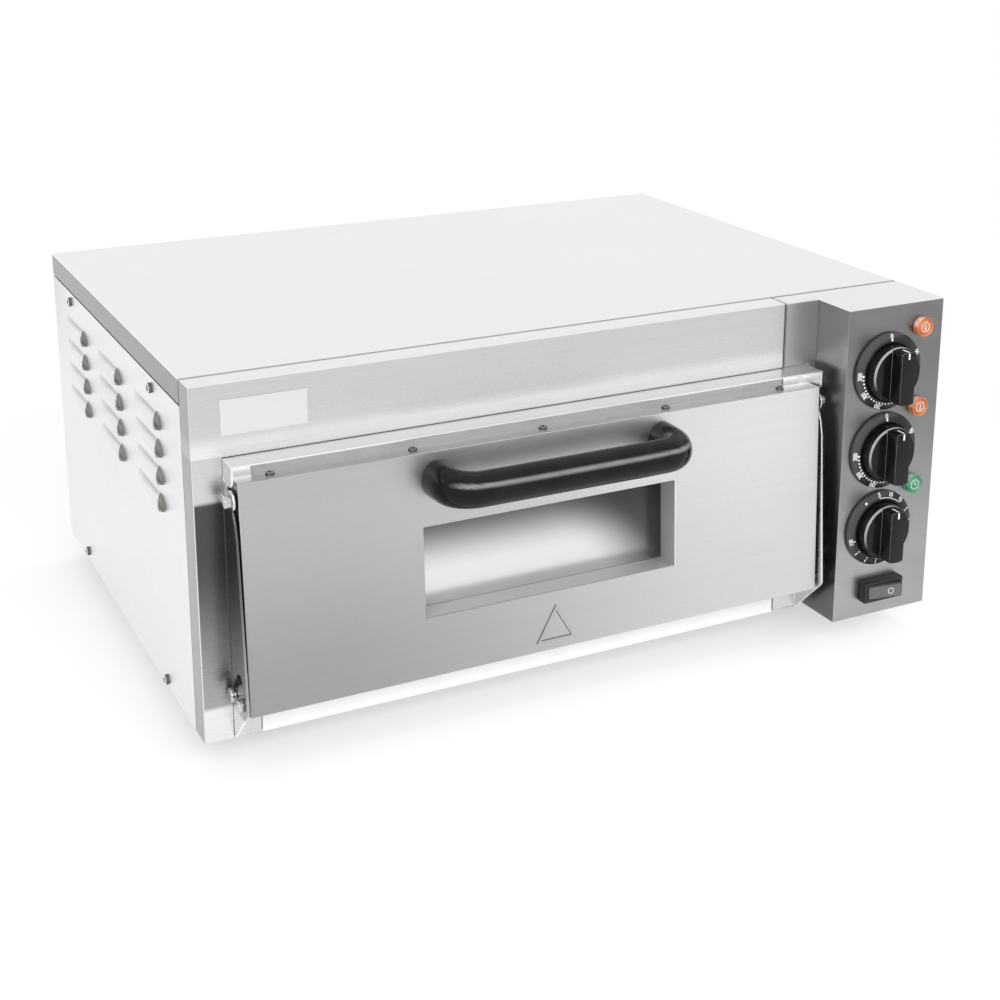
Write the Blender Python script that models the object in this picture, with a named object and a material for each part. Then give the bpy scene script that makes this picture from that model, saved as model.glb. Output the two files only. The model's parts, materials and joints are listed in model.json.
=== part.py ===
"""Single-deck bakery oven: stainless casing, drop-down door, control column, four rubber feet.

Metres, +Z up. The origin lies on the resting surface, midway across the casing and midway
between the front of the door handle and the back of the cable gland. X runs across the front
with the control column at +X, and -Y points out of the door.

Every fixed piece is laid out from the "oven" empty, at the foot of the front face: x from the
middle of the casing, y back from the front face, z up from the resting surface. The door hangs
on the "door_axis" empty and leans back against the front; each knob and the rocker have an
empty on their own axis.
"""
import math

import bmesh
import bpy
from mathutils import Vector

# ---- casing -------------------------------------------------------------------------------
WIDTH = 0.560            # across the side panels
DEPTH = 0.394            # front face to back panel
HEIGHT = 0.2433          # casing without its feet
SHEET = 0.0012           # casing sheet
GAP = 0.0003             # between pieces that touch
SEAM = 0.0008            # open seam under the lid's lips
FRONT_RETURN = 0.0195    # front panels folded back over the top and the left side
LID_LIP = 0.0173         # lid folded down over the sides
PAN_EDGE = 0.012         # upstand round the base pan
SIDE_FOLD = 0.012        # side panel folded in under the lid

FOOT_HEIGHT = 0.024
FOOT_RADIUS = 0.016
FOOT_INSET_X = 0.050     # foot centre from the side
FOOT_INSET_FRONT = 0.064
FOOT_INSET_BACK = 0.055

# ---- control column -----------------------------------------------------------------------
CONTROL_WIDTH = 0.0855   # boxed-out control panel
CONTROL_REACH = 0.036    # how far it stands in front of the front face
COLUMN_STRIP = 0.0293    # flush strip of the same housing, left of the box
DIAL_FROM_RIGHT = 0.0491
DIAL_TOP_DROP = 0.0496   # top of the casing to the upper dial's centre
DIAL_PITCH = 0.0613
DIAL_RADIUS = 0.0293
DIAL_THICKNESS = 0.0044
KNOB_RADIUS = 0.0217
KNOB_HEIGHT = 0.0240     # front of the grip bar above the control panel
KNOB_DISC = 0.0130       # front of the knob's disc above the control panel
KNOB_BAR = 0.0125        # width of the grip bar
KNOB_CLEARANCE = 0.0006
SHAFT_RADIUS = 0.003
LAMP_RADIUS = 0.00725
LAMP_BARREL = 0.0055
LAMP_REACH = 0.0055
LAMP_FROM_RIGHT = 0.0200
LAMP_ABOVE_DIAL = 0.0305
SWITCH_FROM_RIGHT = 0.0448
SWITCH_HEIGHT = 0.0216   # switch centre above the bottom of the casing
SWITCH_SIZE = (0.0350, 0.0163)
SWITCH_REACH = 0.0075
SWITCH_BODY = (0.0290, 0.0120)
SWITCH_BODY_DEPTH = 0.020
ROCKER_SIZE = (0.0272, 0.0095)
ROCKER_PROUD = 0.0028
ROCKER_SINK = 0.0035     # rocker axis behind the bezel's face
ROCKER_TILT = 8.0        # degrees to either side
THERMOSTAT_SIZE = (0.038, 0.028, 0.042)

# ---- door, its brackets and the hood ------------------------------------------------------
SIDE_STRIP = 0.0200      # casing's left edge to the left cheek
CHEEK_CLEAR = 0.0078     # right cheek to the control box
CHEEK = 0.0015           # bracket sheet
EAR_DROP = 0.0240        # hood's top to the middle of the cheek's rounded ear
EAR_RADIUS = 0.0070
EAR_FORWARD = 0.0135     # ear's middle in front of the front face
CHEEK_NECK = 0.0070      # depth of the cheek above its ear
FLANGE = 0.0185          # bracket flange on the front
FLANGE_SEAM = 0.0010
DOOR_SIDE_GAP = 0.0018
UPPER_FRONT = 0.0488     # front above the hood
HOOD_REACH = 0.0185
HOOD_DROP = 0.0145       # end flanges
HOOD_UPSTAND = 0.014
PIVOT_DEPTH = 0.0220     # door axis in front of the front face
PIVOT_HEIGHT = 0.0345    # door axis above the bottom of the casing
PIVOT_RADIUS = 0.0025
PIVOT_HEAD = 0.0046
STOP_CLEAR = 0.0060      # stop pin in front of the front face
STOP_PIN = 0.0026
STOP_HEAD = 0.0050
STOP_SLACK = 0.0007
DOOR_TRAVEL = 80.0       # degrees
DOOR_LEAN = 2.5          # degrees back from upright when shut
DOOR_BELOW_AXIS = 0.0082
DOOR_BELOW_HOOD = 0.0111
DOOR_SKIN = 0.0010
DOOR_EDGE = 0.0150       # depth of the door's outer tray
AXIS_TO_SKIN = 0.00465   # door axis behind the door's face
PLUG_DEPTH = 0.0150      # inner pan reaching into the oven's mouth
PLUG_CLEAR_X = 0.0032
PLUG_CLEAR_LOW = 0.0045
PLUG_CLEAR_HIGH = 0.0035
PLUG_MARGIN = 0.0200     # least rim of the door around its plug
WINDOW_WIDTH = 0.1932
WINDOW_BELOW = 0.0143    # window's edges from the plug's lower and upper edges
WINDOW_ABOVE = 0.0299
TUNNEL_WALL = 0.0008
TUNNEL_DEPTH = 0.0192
GLASS = 0.0040
GLASS_EDGE = 0.0120
RETAINER_EDGE = 0.0100
HANDLE_PITCH = 0.1710
HANDLE_DROP = 0.0194     # door's top to the grip's centreline
HANDLE_REACH = 0.0314    # grip's centreline in front of the door
HANDLE_GRIP = 0.0120
HANDLE_LEG = (0.0115, 0.0138)
HANDLE_BEND = 0.0180

# ---- baking chamber -----------------------------------------------------------------------
MOUTH_BESIDE = 0.02735   # cheek to the mouth
MOUTH_LOW = 0.050        # above the bottom of the casing
MOUTH_BELOW_HOOD = 0.0285
LINER = 0.0010
LINER_EASE = 0.0020      # chamber wider and taller than its mouth, each side
BACK_INSULATION = 0.0212
LINER_FLANGE = 0.0100
STONE_BOTTOM = 0.0660
STONE = 0.0140
STONE_EASE = 0.0040
STONE_FRONT = 0.012      # behind the front sheet
STONE_BACK = 0.004       # off the back of the chamber
RAIL = 0.0130
ELEMENT_RADIUS = 0.00325
LOWER_ELEMENT = 0.0065   # above the mouth's lower edge
UPPER_ELEMENT = 0.0080   # below the mouth's upper edge
ELEMENT_RUNS = 6
ELEMENT_MARGIN = 0.073   # first and last runs from the ends of the chamber
BULB_RADIUS = 0.003
BULB_LENGTH = 0.100
WRAP_THICKNESS = 0.027   # insulation on the chamber's sides
WRAP_DROP = 0.0213       # top of the casing to the top of the insulation
PARTITION_CLEAR = 0.0003

# ---- louvres ------------------------------------------------------------------------------
LOUVRE_TOP_DROP = 0.0438 # top of the casing to the upper row
LOUVRE_ROW_PITCH = 0.0191
LOUVRE_ROWS = 4
LOUVRE_FIRST = 0.0743    # open front end behind the front face
LOUVRE_LAST = 0.0475     # last column's closed end to the back
LOUVRE_COLUMNS = 3
LOUVRE_LENGTH = 0.0600
LOUVRE_HALF = 0.0062
LOUVRE_BULGE = 0.0042
LOUVRE_WALL = 0.0009
LOUVRE_LEAN = 0.0040     # open end's top behind its middle

# ---- services -----------------------------------------------------------------------------
GLAND_FROM_RIGHT = 0.045
GLAND_HEIGHT = 0.040
GLAND_RADIUS = 0.011
GLAND_BARREL = 0.008
GLAND_BORE = 0.0045
GLAND_REACH = 0.012
TERMINALS = (0.050, 0.030, 0.026)

# ---- worked out from the above --------------------------------------------------------------
LEFT = -WIDTH / 2
RIGHT = WIDTH / 2
BASE = FOOT_HEIGHT
TOP = BASE + HEIGHT
BOX_LEFT = RIGHT - CONTROL_WIDTH
COLUMN_LEFT = BOX_LEFT - COLUMN_STRIP
PANEL_Y = -CONTROL_REACH
CHEEK_LEFT = LEFT + SIDE_STRIP
CHEEK_RIGHT = BOX_LEFT - CHEEK_CLEAR
DOOR_MIDDLE = (CHEEK_LEFT + CHEEK_RIGHT) / 2
DOOR_LEFT = CHEEK_LEFT + CHEEK + DOOR_SIDE_GAP
DOOR_RIGHT = CHEEK_RIGHT - CHEEK - DOOR_SIDE_GAP
HOOD_HEIGHT = HEIGHT - UPPER_FRONT
HOOD_TOP = BASE + HOOD_HEIGHT
PIVOT_Z = BASE + PIVOT_HEIGHT
DOOR_ABOVE_AXIS = HOOD_HEIGHT - DOOR_BELOW_HOOD - PIVOT_HEIGHT
HANDLE_HEIGHT = DOOR_ABOVE_AXIS - HANDLE_DROP
CHEEK_TOP = HOOD_TOP - HOOD_DROP - GAP
EAR_Z = HOOD_TOP - EAR_DROP
MOUTH_LEFT = CHEEK_LEFT + MOUTH_BESIDE
MOUTH_RIGHT = CHEEK_RIGHT - MOUTH_BESIDE
MOUTH_HIGH = HOOD_HEIGHT - MOUTH_BELOW_HOOD
BEHIND_FRONT = SHEET + GAP
LINER_LEFT = MOUTH_LEFT - LINER_EASE
LINER_RIGHT = MOUTH_RIGHT + LINER_EASE
LINER_LOW = BASE + MOUTH_LOW - LINER_EASE
LINER_HIGH = BASE + MOUTH_HIGH + LINER_EASE
INSIDE_FRONT = BEHIND_FRONT + SHEET + GAP
INSIDE_BACK = DEPTH - INSIDE_FRONT
LINER_BACK = INSIDE_BACK - BACK_INSULATION - GAP - LINER
ELEMENT_FIRST = BEHIND_FRONT + ELEMENT_MARGIN
ELEMENT_LAST = LINER_BACK - ELEMENT_MARGIN
ELEMENT_PITCH = (ELEMENT_LAST - ELEMENT_FIRST) / (ELEMENT_RUNS - 1)
LOWER_ELEMENT_Z = BASE + MOUTH_LOW + LOWER_ELEMENT
UPPER_ELEMENT_Z = BASE + MOUTH_HIGH - UPPER_ELEMENT
FLOOR_TOP = BASE + SHEET
WRAP_LEFT = LINER_LEFT - LINER - WRAP_THICKNESS
WRAP_RIGHT = LINER_RIGHT + LINER + WRAP_THICKNESS
PARTITION_X = WRAP_RIGHT + PARTITION_CLEAR
LOUVRE_RUN = DEPTH - LOUVRE_FIRST - LOUVRE_LENGTH - LOUVRE_LAST
LOUVRE_PITCH = LOUVRE_RUN / (LOUVRE_COLUMNS - 1)
DIAL_X = RIGHT - DIAL_FROM_RIGHT
DIAL_HEIGHTS = tuple(TOP - DIAL_TOP_DROP - step * DIAL_PITCH for step in range(3))
LAMP_X = RIGHT - LAMP_FROM_RIGHT
SWITCH_X = RIGHT - SWITCH_FROM_RIGHT
SWITCH_Z = BASE + SWITCH_HEIGHT
SKIN_Y = -AXIS_TO_SKIN
STOP_RADIUS = PIVOT_DEPTH - STOP_CLEAR
PLUG_LOW = MOUTH_LOW - PIVOT_HEIGHT + PLUG_CLEAR_LOW
PLUG_HIGH = min(MOUTH_HIGH - PIVOT_HEIGHT - PLUG_CLEAR_HIGH, DOOR_ABOVE_AXIS - PLUG_MARGIN)
WINDOW_LOW = PLUG_LOW + WINDOW_BELOW
WINDOW_HIGH = PLUG_HIGH - WINDOW_ABOVE
LEAN = math.radians(DOOR_LEAN)
HANDLE_FRONT = AXIS_TO_SKIN + HANDLE_REACH
FRONT_REACH = (PIVOT_DEPTH + HANDLE_FRONT * math.cos(LEAN)
               - HANDLE_HEIGHT * math.sin(LEAN) + HANDLE_GRIP)
FASCIA_Y = (FRONT_REACH - DEPTH - GLAND_REACH) / 2

# ---- scene and materials --------------------------------------------------------------------


def clear_scene():
    for item in list(bpy.data.objects):
        bpy.data.objects.remove(item, do_unlink=True)


def finish(name, colour, roughness, metallic=0.0, alpha=1.0):
    """Principled material in one plain colour."""
    material = bpy.data.materials.new(name)
    material.use_nodes = True
    shader = material.node_tree.nodes["Principled BSDF"]
    shader.inputs["Base Color"].default_value = (*colour, 1.0)
    shader.inputs["Roughness"].default_value = roughness
    shader.inputs["Metallic"].default_value = metallic
    shader.inputs["Alpha"].default_value = alpha
    return material


STEEL = ((0.72, 0.72, 0.71), 0.32, 1.0)
DARK_STEEL = ((0.38, 0.37, 0.36), 0.45, 1.0)
GALVANISED = ((0.60, 0.61, 0.62), 0.45, 1.0)
BLACK_GLOSS = ((0.012, 0.012, 0.013), 0.18)
BLACK_SATIN = ((0.018, 0.018, 0.019), 0.42)
RUBBER = ((0.020, 0.020, 0.020), 0.80)
STONE_FINISH = ((0.62, 0.55, 0.44), 0.90)
WOOL = ((0.66, 0.62, 0.50), 0.95)
AMBER = ((0.90, 0.28, 0.03), 0.15)
GREEN = ((0.02, 0.42, 0.22), 0.15)
CLEAR_GLASS = ((0.90, 0.93, 0.92), 0.05, 0.0, 0.35)
SMOKED = ((0.10, 0.10, 0.10), 0.25)
CREAM = ((0.80, 0.78, 0.72), 0.50)


def empty(name, location, parent=None, turn=(0.0, 0.0, 0.0)):
    axis = bpy.data.objects.new(name, None)
    axis.location = location
    axis.rotation_euler = turn
    axis.parent = parent
    bpy.context.scene.collection.objects.link(axis)
    return axis


# ---- shapes: each call gives a function that adds one closed shape to a bmesh ----------------


def place(axis, across, along):
    """3-D point from two coordinates across an axis, in x, y, z order, and one along it."""
    point = list(across)
    point.insert("xyz".index(axis), along)
    return Vector(point)


def box(low, high):
    def add(bm):
        for corner in bmesh.ops.create_cube(bm, size=2.0)["verts"]:
            corner.co = [b if side > 0 else a for a, b, side in zip(low, high, corner.co)]
    return add


def prism(axis, outline, start, end):
    """Flat outline extruded along an axis."""
    def add(bm):
        corners = [bm.verts.new(place(axis, point, start)) for point in outline]
        face = bm.faces.new(corners)
        grown = bmesh.ops.extrude_face_region(bm, geom=[face])["geom"]
        moved = [item for item in grown if isinstance(item, bmesh.types.BMVert)]
        bmesh.ops.translate(bm, verts=moved, vec=place(axis, (0.0, 0.0), end - start))
    return add


def loft(rings):
    """Closed skin through rings of points, capped at both ends."""
    def add(bm):
        loops = [[bm.verts.new(point) for point in ring] for ring in rings]
        for near, far in zip(loops, loops[1:]):
            for index, corner in enumerate(near):
                after = (index + 1) % len(near)
                bm.faces.new((corner, near[after], far[after], far[index]))
        bm.faces.new(loops[0])
        bm.faces.new(loops[-1])
    return add


def circle(axis, centre, radius, along, sides):
    steps = [2 * math.pi * index / sides for index in range(sides)]
    return [place(axis, (centre[0] + radius * math.cos(step), centre[1] + radius * math.sin(step)),
                  along) for step in steps]


def rod(axis, centre, radius, start, end, sides=20):
    return loft([circle(axis, centre, radius, along, sides) for along in (start, end)])


def turned(axis, centre, profile, sides=28):
    """Turned solid: profile of (radius, position along the axis) from one end to the other."""
    return loft([circle(axis, centre, radius, along, sides) for radius, along in profile])


def arc(centre, radius, start, end, steps):
    """Points on an arc, angles in degrees."""
    turns = [math.radians(start + (end - start) * step / steps) for step in range(steps + 1)]
    return [(centre[0] + radius * math.cos(turn), centre[1] + radius * math.sin(turn))
            for turn in turns]


def group(*shapes):
    """Separate shapes handled as one."""
    def add(bm):
        for shape in shapes:
            shape(bm)
    return add


def mesh_of(name, shape):
    bm = bmesh.new()
    shape(bm)
    bmesh.ops.recalc_face_normals(bm, faces=bm.faces)
    mesh = bpy.data.meshes.new(name)
    bm.to_mesh(mesh)
    bm.free()
    return mesh


def solid(name, look, parent, shape, add=(), cut=(), smooth=False):
    """One sub-part: a first shape, then shapes joined to it, then shapes cut from it."""
    mesh = mesh_of(name, shape)
    if smooth:
        mesh.shade_smooth()
        mesh.set_sharp_from_angle(angle=math.radians(35.0))
    part = bpy.data.objects.new(name, mesh)
    mesh.materials.append(finish(name, *look))
    part.parent = parent
    bpy.context.scene.collection.objects.link(part)
    steps = [("UNION", extra) for extra in add] + [("DIFFERENCE", hole) for hole in cut]
    for number, (operation, operand) in enumerate(steps):
        label = f"{name}_{operation.lower()}_{number}"
        guide = bpy.data.objects.new(label, mesh_of(label, operand))
        guide.parent = parent
        guide.hide_render = True
        guide.display_type = "WIRE"
        bpy.context.scene.collection.objects.link(guide)
        modifier = part.modifiers.new(label, "BOOLEAN")
        modifier.operation = operation
        modifier.object = guide
        modifier.solver = "EXACT"
    return part


# ---- casing -------------------------------------------------------------------------------


def pan_outline(inset):
    """The base pan's plan: the casing with the control box boxed out in front."""
    front = BEHIND_FRONT + inset
    step = BOX_LEFT + BEHIND_FRONT + inset
    box_front = PANEL_Y + BEHIND_FRONT + inset
    back = DEPTH - BEHIND_FRONT - inset
    left = LEFT + BEHIND_FRONT + inset
    right = RIGHT - BEHIND_FRONT - inset
    return [(left, front), (step, front), (step, box_front), (right, box_front),
            (right, back), (left, back)]


def base_pan(oven):
    solid("base_pan", GALVANISED, oven,
          prism("z", pan_outline(0.0), BASE, BASE + PAN_EDGE),
          cut=[prism("z", pan_outline(SHEET), FLOOR_TOP, BASE + 2 * PAN_EDGE)])


def front_frame(oven):
    """Upper front and left strip, folded back over the top and the left side."""
    right = COLUMN_LEFT - GAP
    strip_right = CHEEK_LEFT - GAP
    low = HOOD_TOP + GAP
    outline = [(LEFT, BASE), (strip_right, BASE), (strip_right, low), (right, low),
               (right, TOP), (LEFT, TOP)]
    solid("front_frame", STEEL, oven,
          prism("y", outline, 0.0, SHEET),
          add=[box((LEFT, 0.0, TOP - SHEET), (right, FRONT_RETURN, TOP)),
               box((LEFT, 0.0, BASE), (LEFT + SHEET, FRONT_RETURN, TOP))])


def mouth_frame(oven):
    """Front sheet round the oven's mouth, between the two hinge brackets."""
    left = CHEEK_LEFT + FLANGE + FLANGE_SEAM
    right = COLUMN_LEFT - FLANGE_SEAM
    high = HOOD_TOP - SHEET - GAP
    solid("mouth_frame", STEEL, oven,
          box((left, 0.0, BASE), (right, SHEET, high)),
          cut=[box((MOUTH_LEFT, -SHEET, BASE + MOUTH_LOW),
                   (MOUTH_RIGHT, 2 * SHEET, BASE + MOUTH_HIGH))])


def stop_slot():
    """Curved slot in the cheek for the stop pin, as (y, z) points round the door axis."""
    axis = (-PIVOT_DEPTH, PIVOT_Z)
    half = STOP_PIN + STOP_SLACK
    first = arc(axis, STOP_RADIUS, 0.0, DOOR_TRAVEL, 1)
    outer = arc(axis, STOP_RADIUS + half, 0.0, DOOR_TRAVEL, 8)
    end = arc(first[1], half, DOOR_TRAVEL, DOOR_TRAVEL + 180.0, 6)
    inner = arc(axis, STOP_RADIUS - half, DOOR_TRAVEL, 0.0, 8)
    start = arc(first[0], half, 180.0, 360.0, 6)
    return outer + end[1:-1] + inner + start[1:-1]


def cheek_outline():
    """Side plate of a hinge bracket, as (y, z) points."""
    low = BASE + 0.001
    front = PIVOT_DEPTH + 0.010
    ear = arc((-EAR_FORWARD, EAR_Z), EAR_RADIUS, 244.0, 22.0, 12)
    return [(SHEET, CHEEK_TOP), (SHEET, low), (-0.0015, low), (0.0005 - front, PIVOT_Z - 0.0035),
            (-front, PIVOT_Z - 0.001), (-0.0229, EAR_Z - 0.0240), (-0.0205, EAR_Z - 0.0135),
            (-0.0180, EAR_Z - 0.0085), *ear, (-CHEEK_NECK, CHEEK_TOP)]


def hinge_bracket(oven, side, outer, inner, flange_edge):
    """Cheek plate beside the door with its flange on the front."""
    low_x, high_x = sorted((outer, inner))
    flange_low, flange_high = sorted((outer, flange_edge))
    plate = prism("x", cheek_outline(), low_x, high_x)
    flange = box((flange_low, 0.0, BASE + 0.0007), (flange_high, SHEET, HOOD_TOP - SHEET - GAP))
    pivot = (-PIVOT_DEPTH, PIVOT_Z)
    through = (low_x - CHEEK, high_x + CHEEK)
    solid(f"hinge_bracket_{side}", STEEL, oven, flange, add=[plate],
          cut=[group(prism("x", stop_slot(), *through),
                     rod("x", pivot, PIVOT_RADIUS + GAP, *through))])


def hood(oven):
    """Shelf over the door with a flange at each end and an upstand behind the front."""
    outline = [(-HOOD_REACH, HOOD_TOP), (-HOOD_REACH, HOOD_TOP - HOOD_DROP + 0.004),
               (-HOOD_REACH + 0.003, HOOD_TOP - HOOD_DROP),
               (-0.004, HOOD_TOP - HOOD_DROP), (-GAP, HOOD_TOP - HOOD_DROP + 0.003),
               (-GAP, HOOD_TOP)]
    back = BEHIND_FRONT + SHEET
    solid("hood", STEEL, oven,
          box((CHEEK_LEFT, -HOOD_REACH, HOOD_TOP - SHEET), (CHEEK_RIGHT, back, HOOD_TOP)),
          add=[group(prism("x", outline, CHEEK_LEFT, CHEEK_LEFT + SHEET),
                     prism("x", outline, CHEEK_RIGHT - SHEET, CHEEK_RIGHT)),
               box((CHEEK_LEFT, BEHIND_FRONT, HOOD_TOP - SHEET),
                   (CHEEK_RIGHT, back, HOOD_TOP + HOOD_UPSTAND))])


def louvre_ring(outward, face, y, z, half, bulge, root, lean):
    """Drop-shaped half section of a louvre: pointed on top, round below."""
    drop = [(0.46, 0.58), (0.84, 0.10), (1.0, -0.42), (0.88, -0.84)]
    points = [(face + outward * bulge * across, y + lean * up, z + half * up) for across, up in drop]
    return [(root, y + lean, z + half), *points, (root, y - lean, z - half)]


def louvre(outward, face, front, z, wall, inner_root, overrun):
    """Louvre pressed out of a side panel, open at its front end."""
    rings = []
    for share, size, rise in ((0.0, 1.0, 1.0), (0.45, 1.0, 0.72), (1.0, 0.92, 0.28)):
        half = LOUVRE_HALF * size - wall
        bulge = LOUVRE_BULGE * rise - wall
        y = front + (LOUVRE_LENGTH - 2 * wall) * share - (overrun if share == 0.0 else 0.0)
        rings.append(louvre_ring(outward, face, y, z, half, bulge, inner_root,
                                 LOUVRE_LEAN if share == 0.0 else 0.0))
    return loft(rings)


def side_panel(oven, side, outward):
    """Side sheet with three columns of louvres, folded in along the top."""
    face = outward * WIDTH / 2
    inside = face - outward * SHEET
    fold = face - outward * SIDE_FOLD
    front = FRONT_RETURN + GAP
    high = TOP - LID_LIP - SEAM
    spots = [(LOUVRE_FIRST + column * LOUVRE_PITCH, TOP - LOUVRE_TOP_DROP - row * LOUVRE_ROW_PITCH)
             for column in range(LOUVRE_COLUMNS) for row in range(LOUVRE_ROWS)]
    middle = (face + inside) / 2
    beyond = inside - outward * SHEET
    outer = [louvre(outward, face, y, z, 0.0, middle, 0.0) for y, z in spots]
    inner = [louvre(outward, face, y, z, LOUVRE_WALL, beyond, GAP) for y, z in spots]
    low_x, high_x = sorted((face, inside))
    fold_low, fold_high = sorted((face, fold))
    solid(f"{side}_side_panel", STEEL, oven,
          box((low_x, front, BASE), (high_x, DEPTH, high)),
          add=[box((fold_low, front, high - SHEET), (fold_high, DEPTH - BEHIND_FRONT, high)),
               group(*outer)],
          cut=[group(*inner)])


def back_panel(oven):
    low = (LEFT + BEHIND_FRONT, DEPTH - SHEET, BASE)
    high = (RIGHT - BEHIND_FRONT, DEPTH, TOP - LID_LIP - SEAM)
    slots = [box((x, DEPTH - 2 * SHEET, BASE + 0.150), (x + 0.045, DEPTH + SHEET, BASE + 0.153))
             for x in (-0.20, -0.13, -0.06, 0.01, 0.08, 0.18)]
    gland = rod("y", (RIGHT - GLAND_FROM_RIGHT, BASE + GLAND_HEIGHT), GLAND_BARREL + GAP,
                DEPTH - 2 * SHEET, DEPTH + SHEET)
    solid("back_panel", STEEL, oven, box(low, high), cut=[group(gland, *slots)])


def top_cover(oven):
    front = FRONT_RETURN + GAP
    lip = TOP - LID_LIP
    solid("top_cover", STEEL, oven,
          box((LEFT, front, lip), (RIGHT, DEPTH, TOP)),
          cut=[box((LEFT + SHEET, front - SHEET, lip - SHEET),
                   (RIGHT - SHEET, DEPTH - SHEET, TOP - SHEET))])


def foot(oven, name, x, y):
    profile = [(FOOT_RADIUS - 0.001, 0.0), (FOOT_RADIUS, 0.001),
               (FOOT_RADIUS - 0.002, FOOT_HEIGHT - 0.003), (FOOT_RADIUS + 0.001, FOOT_HEIGHT - GAP)]
    solid(name, RUBBER, oven, turned("z", (x, y), profile, 20), smooth=True)


def feet(oven):
    for side, x in (("left", LEFT + FOOT_INSET_X), ("right", RIGHT - FOOT_INSET_X)):
        foot(oven, f"front_{side}_foot", x, FOOT_INSET_FRONT)
        foot(oven, f"rear_{side}_foot", x, DEPTH - FOOT_INSET_BACK)


# ---- chamber --------------------------------------------------------------------------------


def wall_holes(low_x, high_x, clear):
    """Holes for the element terminals and the sensing bulbs through a wall across x."""
    holes = []
    for z in (LOWER_ELEMENT_Z, UPPER_ELEMENT_Z):
        for y in (ELEMENT_FIRST, ELEMENT_LAST):
            holes.append(rod("x", (y, z), ELEMENT_RADIUS + clear, low_x, high_x, 12))
    for y, z in bulb_spots():
        holes.append(rod("x", (y, z), BULB_RADIUS + clear, low_x, high_x, 12))
    return group(*holes)


def bulb_spots():
    between_runs = ELEMENT_FIRST + 0.5 * ELEMENT_PITCH
    return [(between_runs, LOWER_ELEMENT_Z), (between_runs, UPPER_ELEMENT_Z)]


def chamber_liner(oven):
    front = BEHIND_FRONT
    outer_low = (LINER_LEFT - LINER, front, LINER_LOW - LINER)
    outer_high = (LINER_RIGHT + LINER, LINER_BACK + LINER, LINER_HIGH + LINER)
    flange_low = (LINER_LEFT - LINER_FLANGE, front, LINER_LOW - LINER_FLANGE)
    flange_high = (LINER_RIGHT + LINER_FLANGE, front + LINER, LINER_HIGH + LINER_FLANGE)
    solid("chamber_liner", STEEL, oven, box(outer_low, outer_high),
          add=[box(flange_low, flange_high)],
          cut=[box((LINER_LEFT, front - LINER, LINER_LOW), (LINER_RIGHT, LINER_BACK, LINER_HIGH)),
               wall_holes(LINER_RIGHT - LINER, LINER_RIGHT + 2 * LINER, GAP)])


def stone_rails(oven):
    """Ledges on the chamber's side walls that carry the baking stone."""
    top = BASE + STONE_BOTTOM - GAP
    ends = (BEHIND_FRONT + 0.010, LINER_BACK - 0.006)
    for side, wall, inward in (("left", LINER_LEFT, 1.0), ("right", LINER_RIGHT, -1.0)):
        near = wall + inward * GAP
        outline = [(near, top), (near + inward * RAIL, top),
                   (near + inward * RAIL, top - LINER),
                   (near + inward * LINER, top - LINER), (near + inward * LINER, top - 0.005),
                   (near, top - 0.005)]
        solid(f"stone_rail_{side}", DARK_STEEL, oven, prism("y", outline, *ends))


def baking_stone(oven):
    low = (LINER_LEFT + STONE_EASE, BEHIND_FRONT + STONE_FRONT, BASE + STONE_BOTTOM)
    high = (LINER_RIGHT - STONE_EASE, LINER_BACK - STONE_BACK, BASE + STONE_BOTTOM + STONE)
    solid("baking_stone", STONE_FINISH, oven, box(low, high))


def element_route(z):
    """Heating tube: runs across the chamber joined by half-round bends."""
    terminal = PARTITION_X + SHEET + 0.012
    bend = ELEMENT_PITCH / 2
    left = LINER_LEFT + 0.015 + bend
    right = LINER_RIGHT - 0.015 - bend
    points = [(terminal, ELEMENT_FIRST)]
    for run in range(ELEMENT_RUNS - 1):
        y = ELEMENT_FIRST + run * ELEMENT_PITCH + bend
        if run % 2 == 0:
            points += arc((left, y), bend, 270.0, 90.0, 8)
        else:
            points += arc((right, y), bend, -90.0, 90.0, 8)
    points.append((terminal, ELEMENT_LAST))
    return [(x, y, z) for x, y in points]


def heating_element(oven, name, z):
    curve = bpy.data.curves.new(name, "CURVE")
    curve.dimensions = "3D"
    curve.bevel_depth = ELEMENT_RADIUS
    curve.bevel_resolution = 1
    curve.use_fill_caps = True
    route = element_route(z)
    spline = curve.splines.new("POLY")
    spline.points.add(len(route) - 1)
    for point, position in zip(spline.points, route):
        point.co = (*position, 1.0)
    curve.materials.append(finish(name, *DARK_STEEL))
    element = bpy.data.objects.new(name, curve)
    element.parent = oven
    bpy.context.scene.collection.objects.link(element)


def sensing_bulbs(oven):
    end = PARTITION_X + SHEET + 0.008
    for name, spot in zip(("lower_sensing_bulb", "upper_sensing_bulb"), bulb_spots()):
        solid(name, STEEL, oven,
              rod("x", spot, BULB_RADIUS, LINER_RIGHT - BULB_LENGTH, end, 12), smooth=True)


def insulation(oven):
    shell = GAP + LINER
    back = LINER_BACK + LINER
    solid("insulation_wrap", WOOL, oven,
          box((WRAP_LEFT, INSIDE_FRONT, FLOOR_TOP + GAP), (WRAP_RIGHT, back, TOP - WRAP_DROP)),
          cut=[box((LINER_LEFT - shell, -SHEET, LINER_LOW - shell),
                   (LINER_RIGHT + shell, back + SHEET, LINER_HIGH + shell)),
               wall_holes(LINER_RIGHT, WRAP_RIGHT + SHEET, GAP)])
    solid("insulation_back", WOOL, oven,
          box((WRAP_LEFT, back + GAP, FLOOR_TOP + GAP),
              (WRAP_RIGHT, INSIDE_BACK, TOP - WRAP_DROP)))


def control_partition(oven):
    solid("control_partition", GALVANISED, oven,
          box((PARTITION_X, INSIDE_FRONT, FLOOR_TOP + GAP),
              (PARTITION_X + SHEET, INSIDE_BACK, TOP - SHEET - GAP)),
          cut=[wall_holes(PARTITION_X - SHEET, PARTITION_X + 2 * SHEET, GAP)])


# ---- control column -------------------------------------------------------------------------


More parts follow.
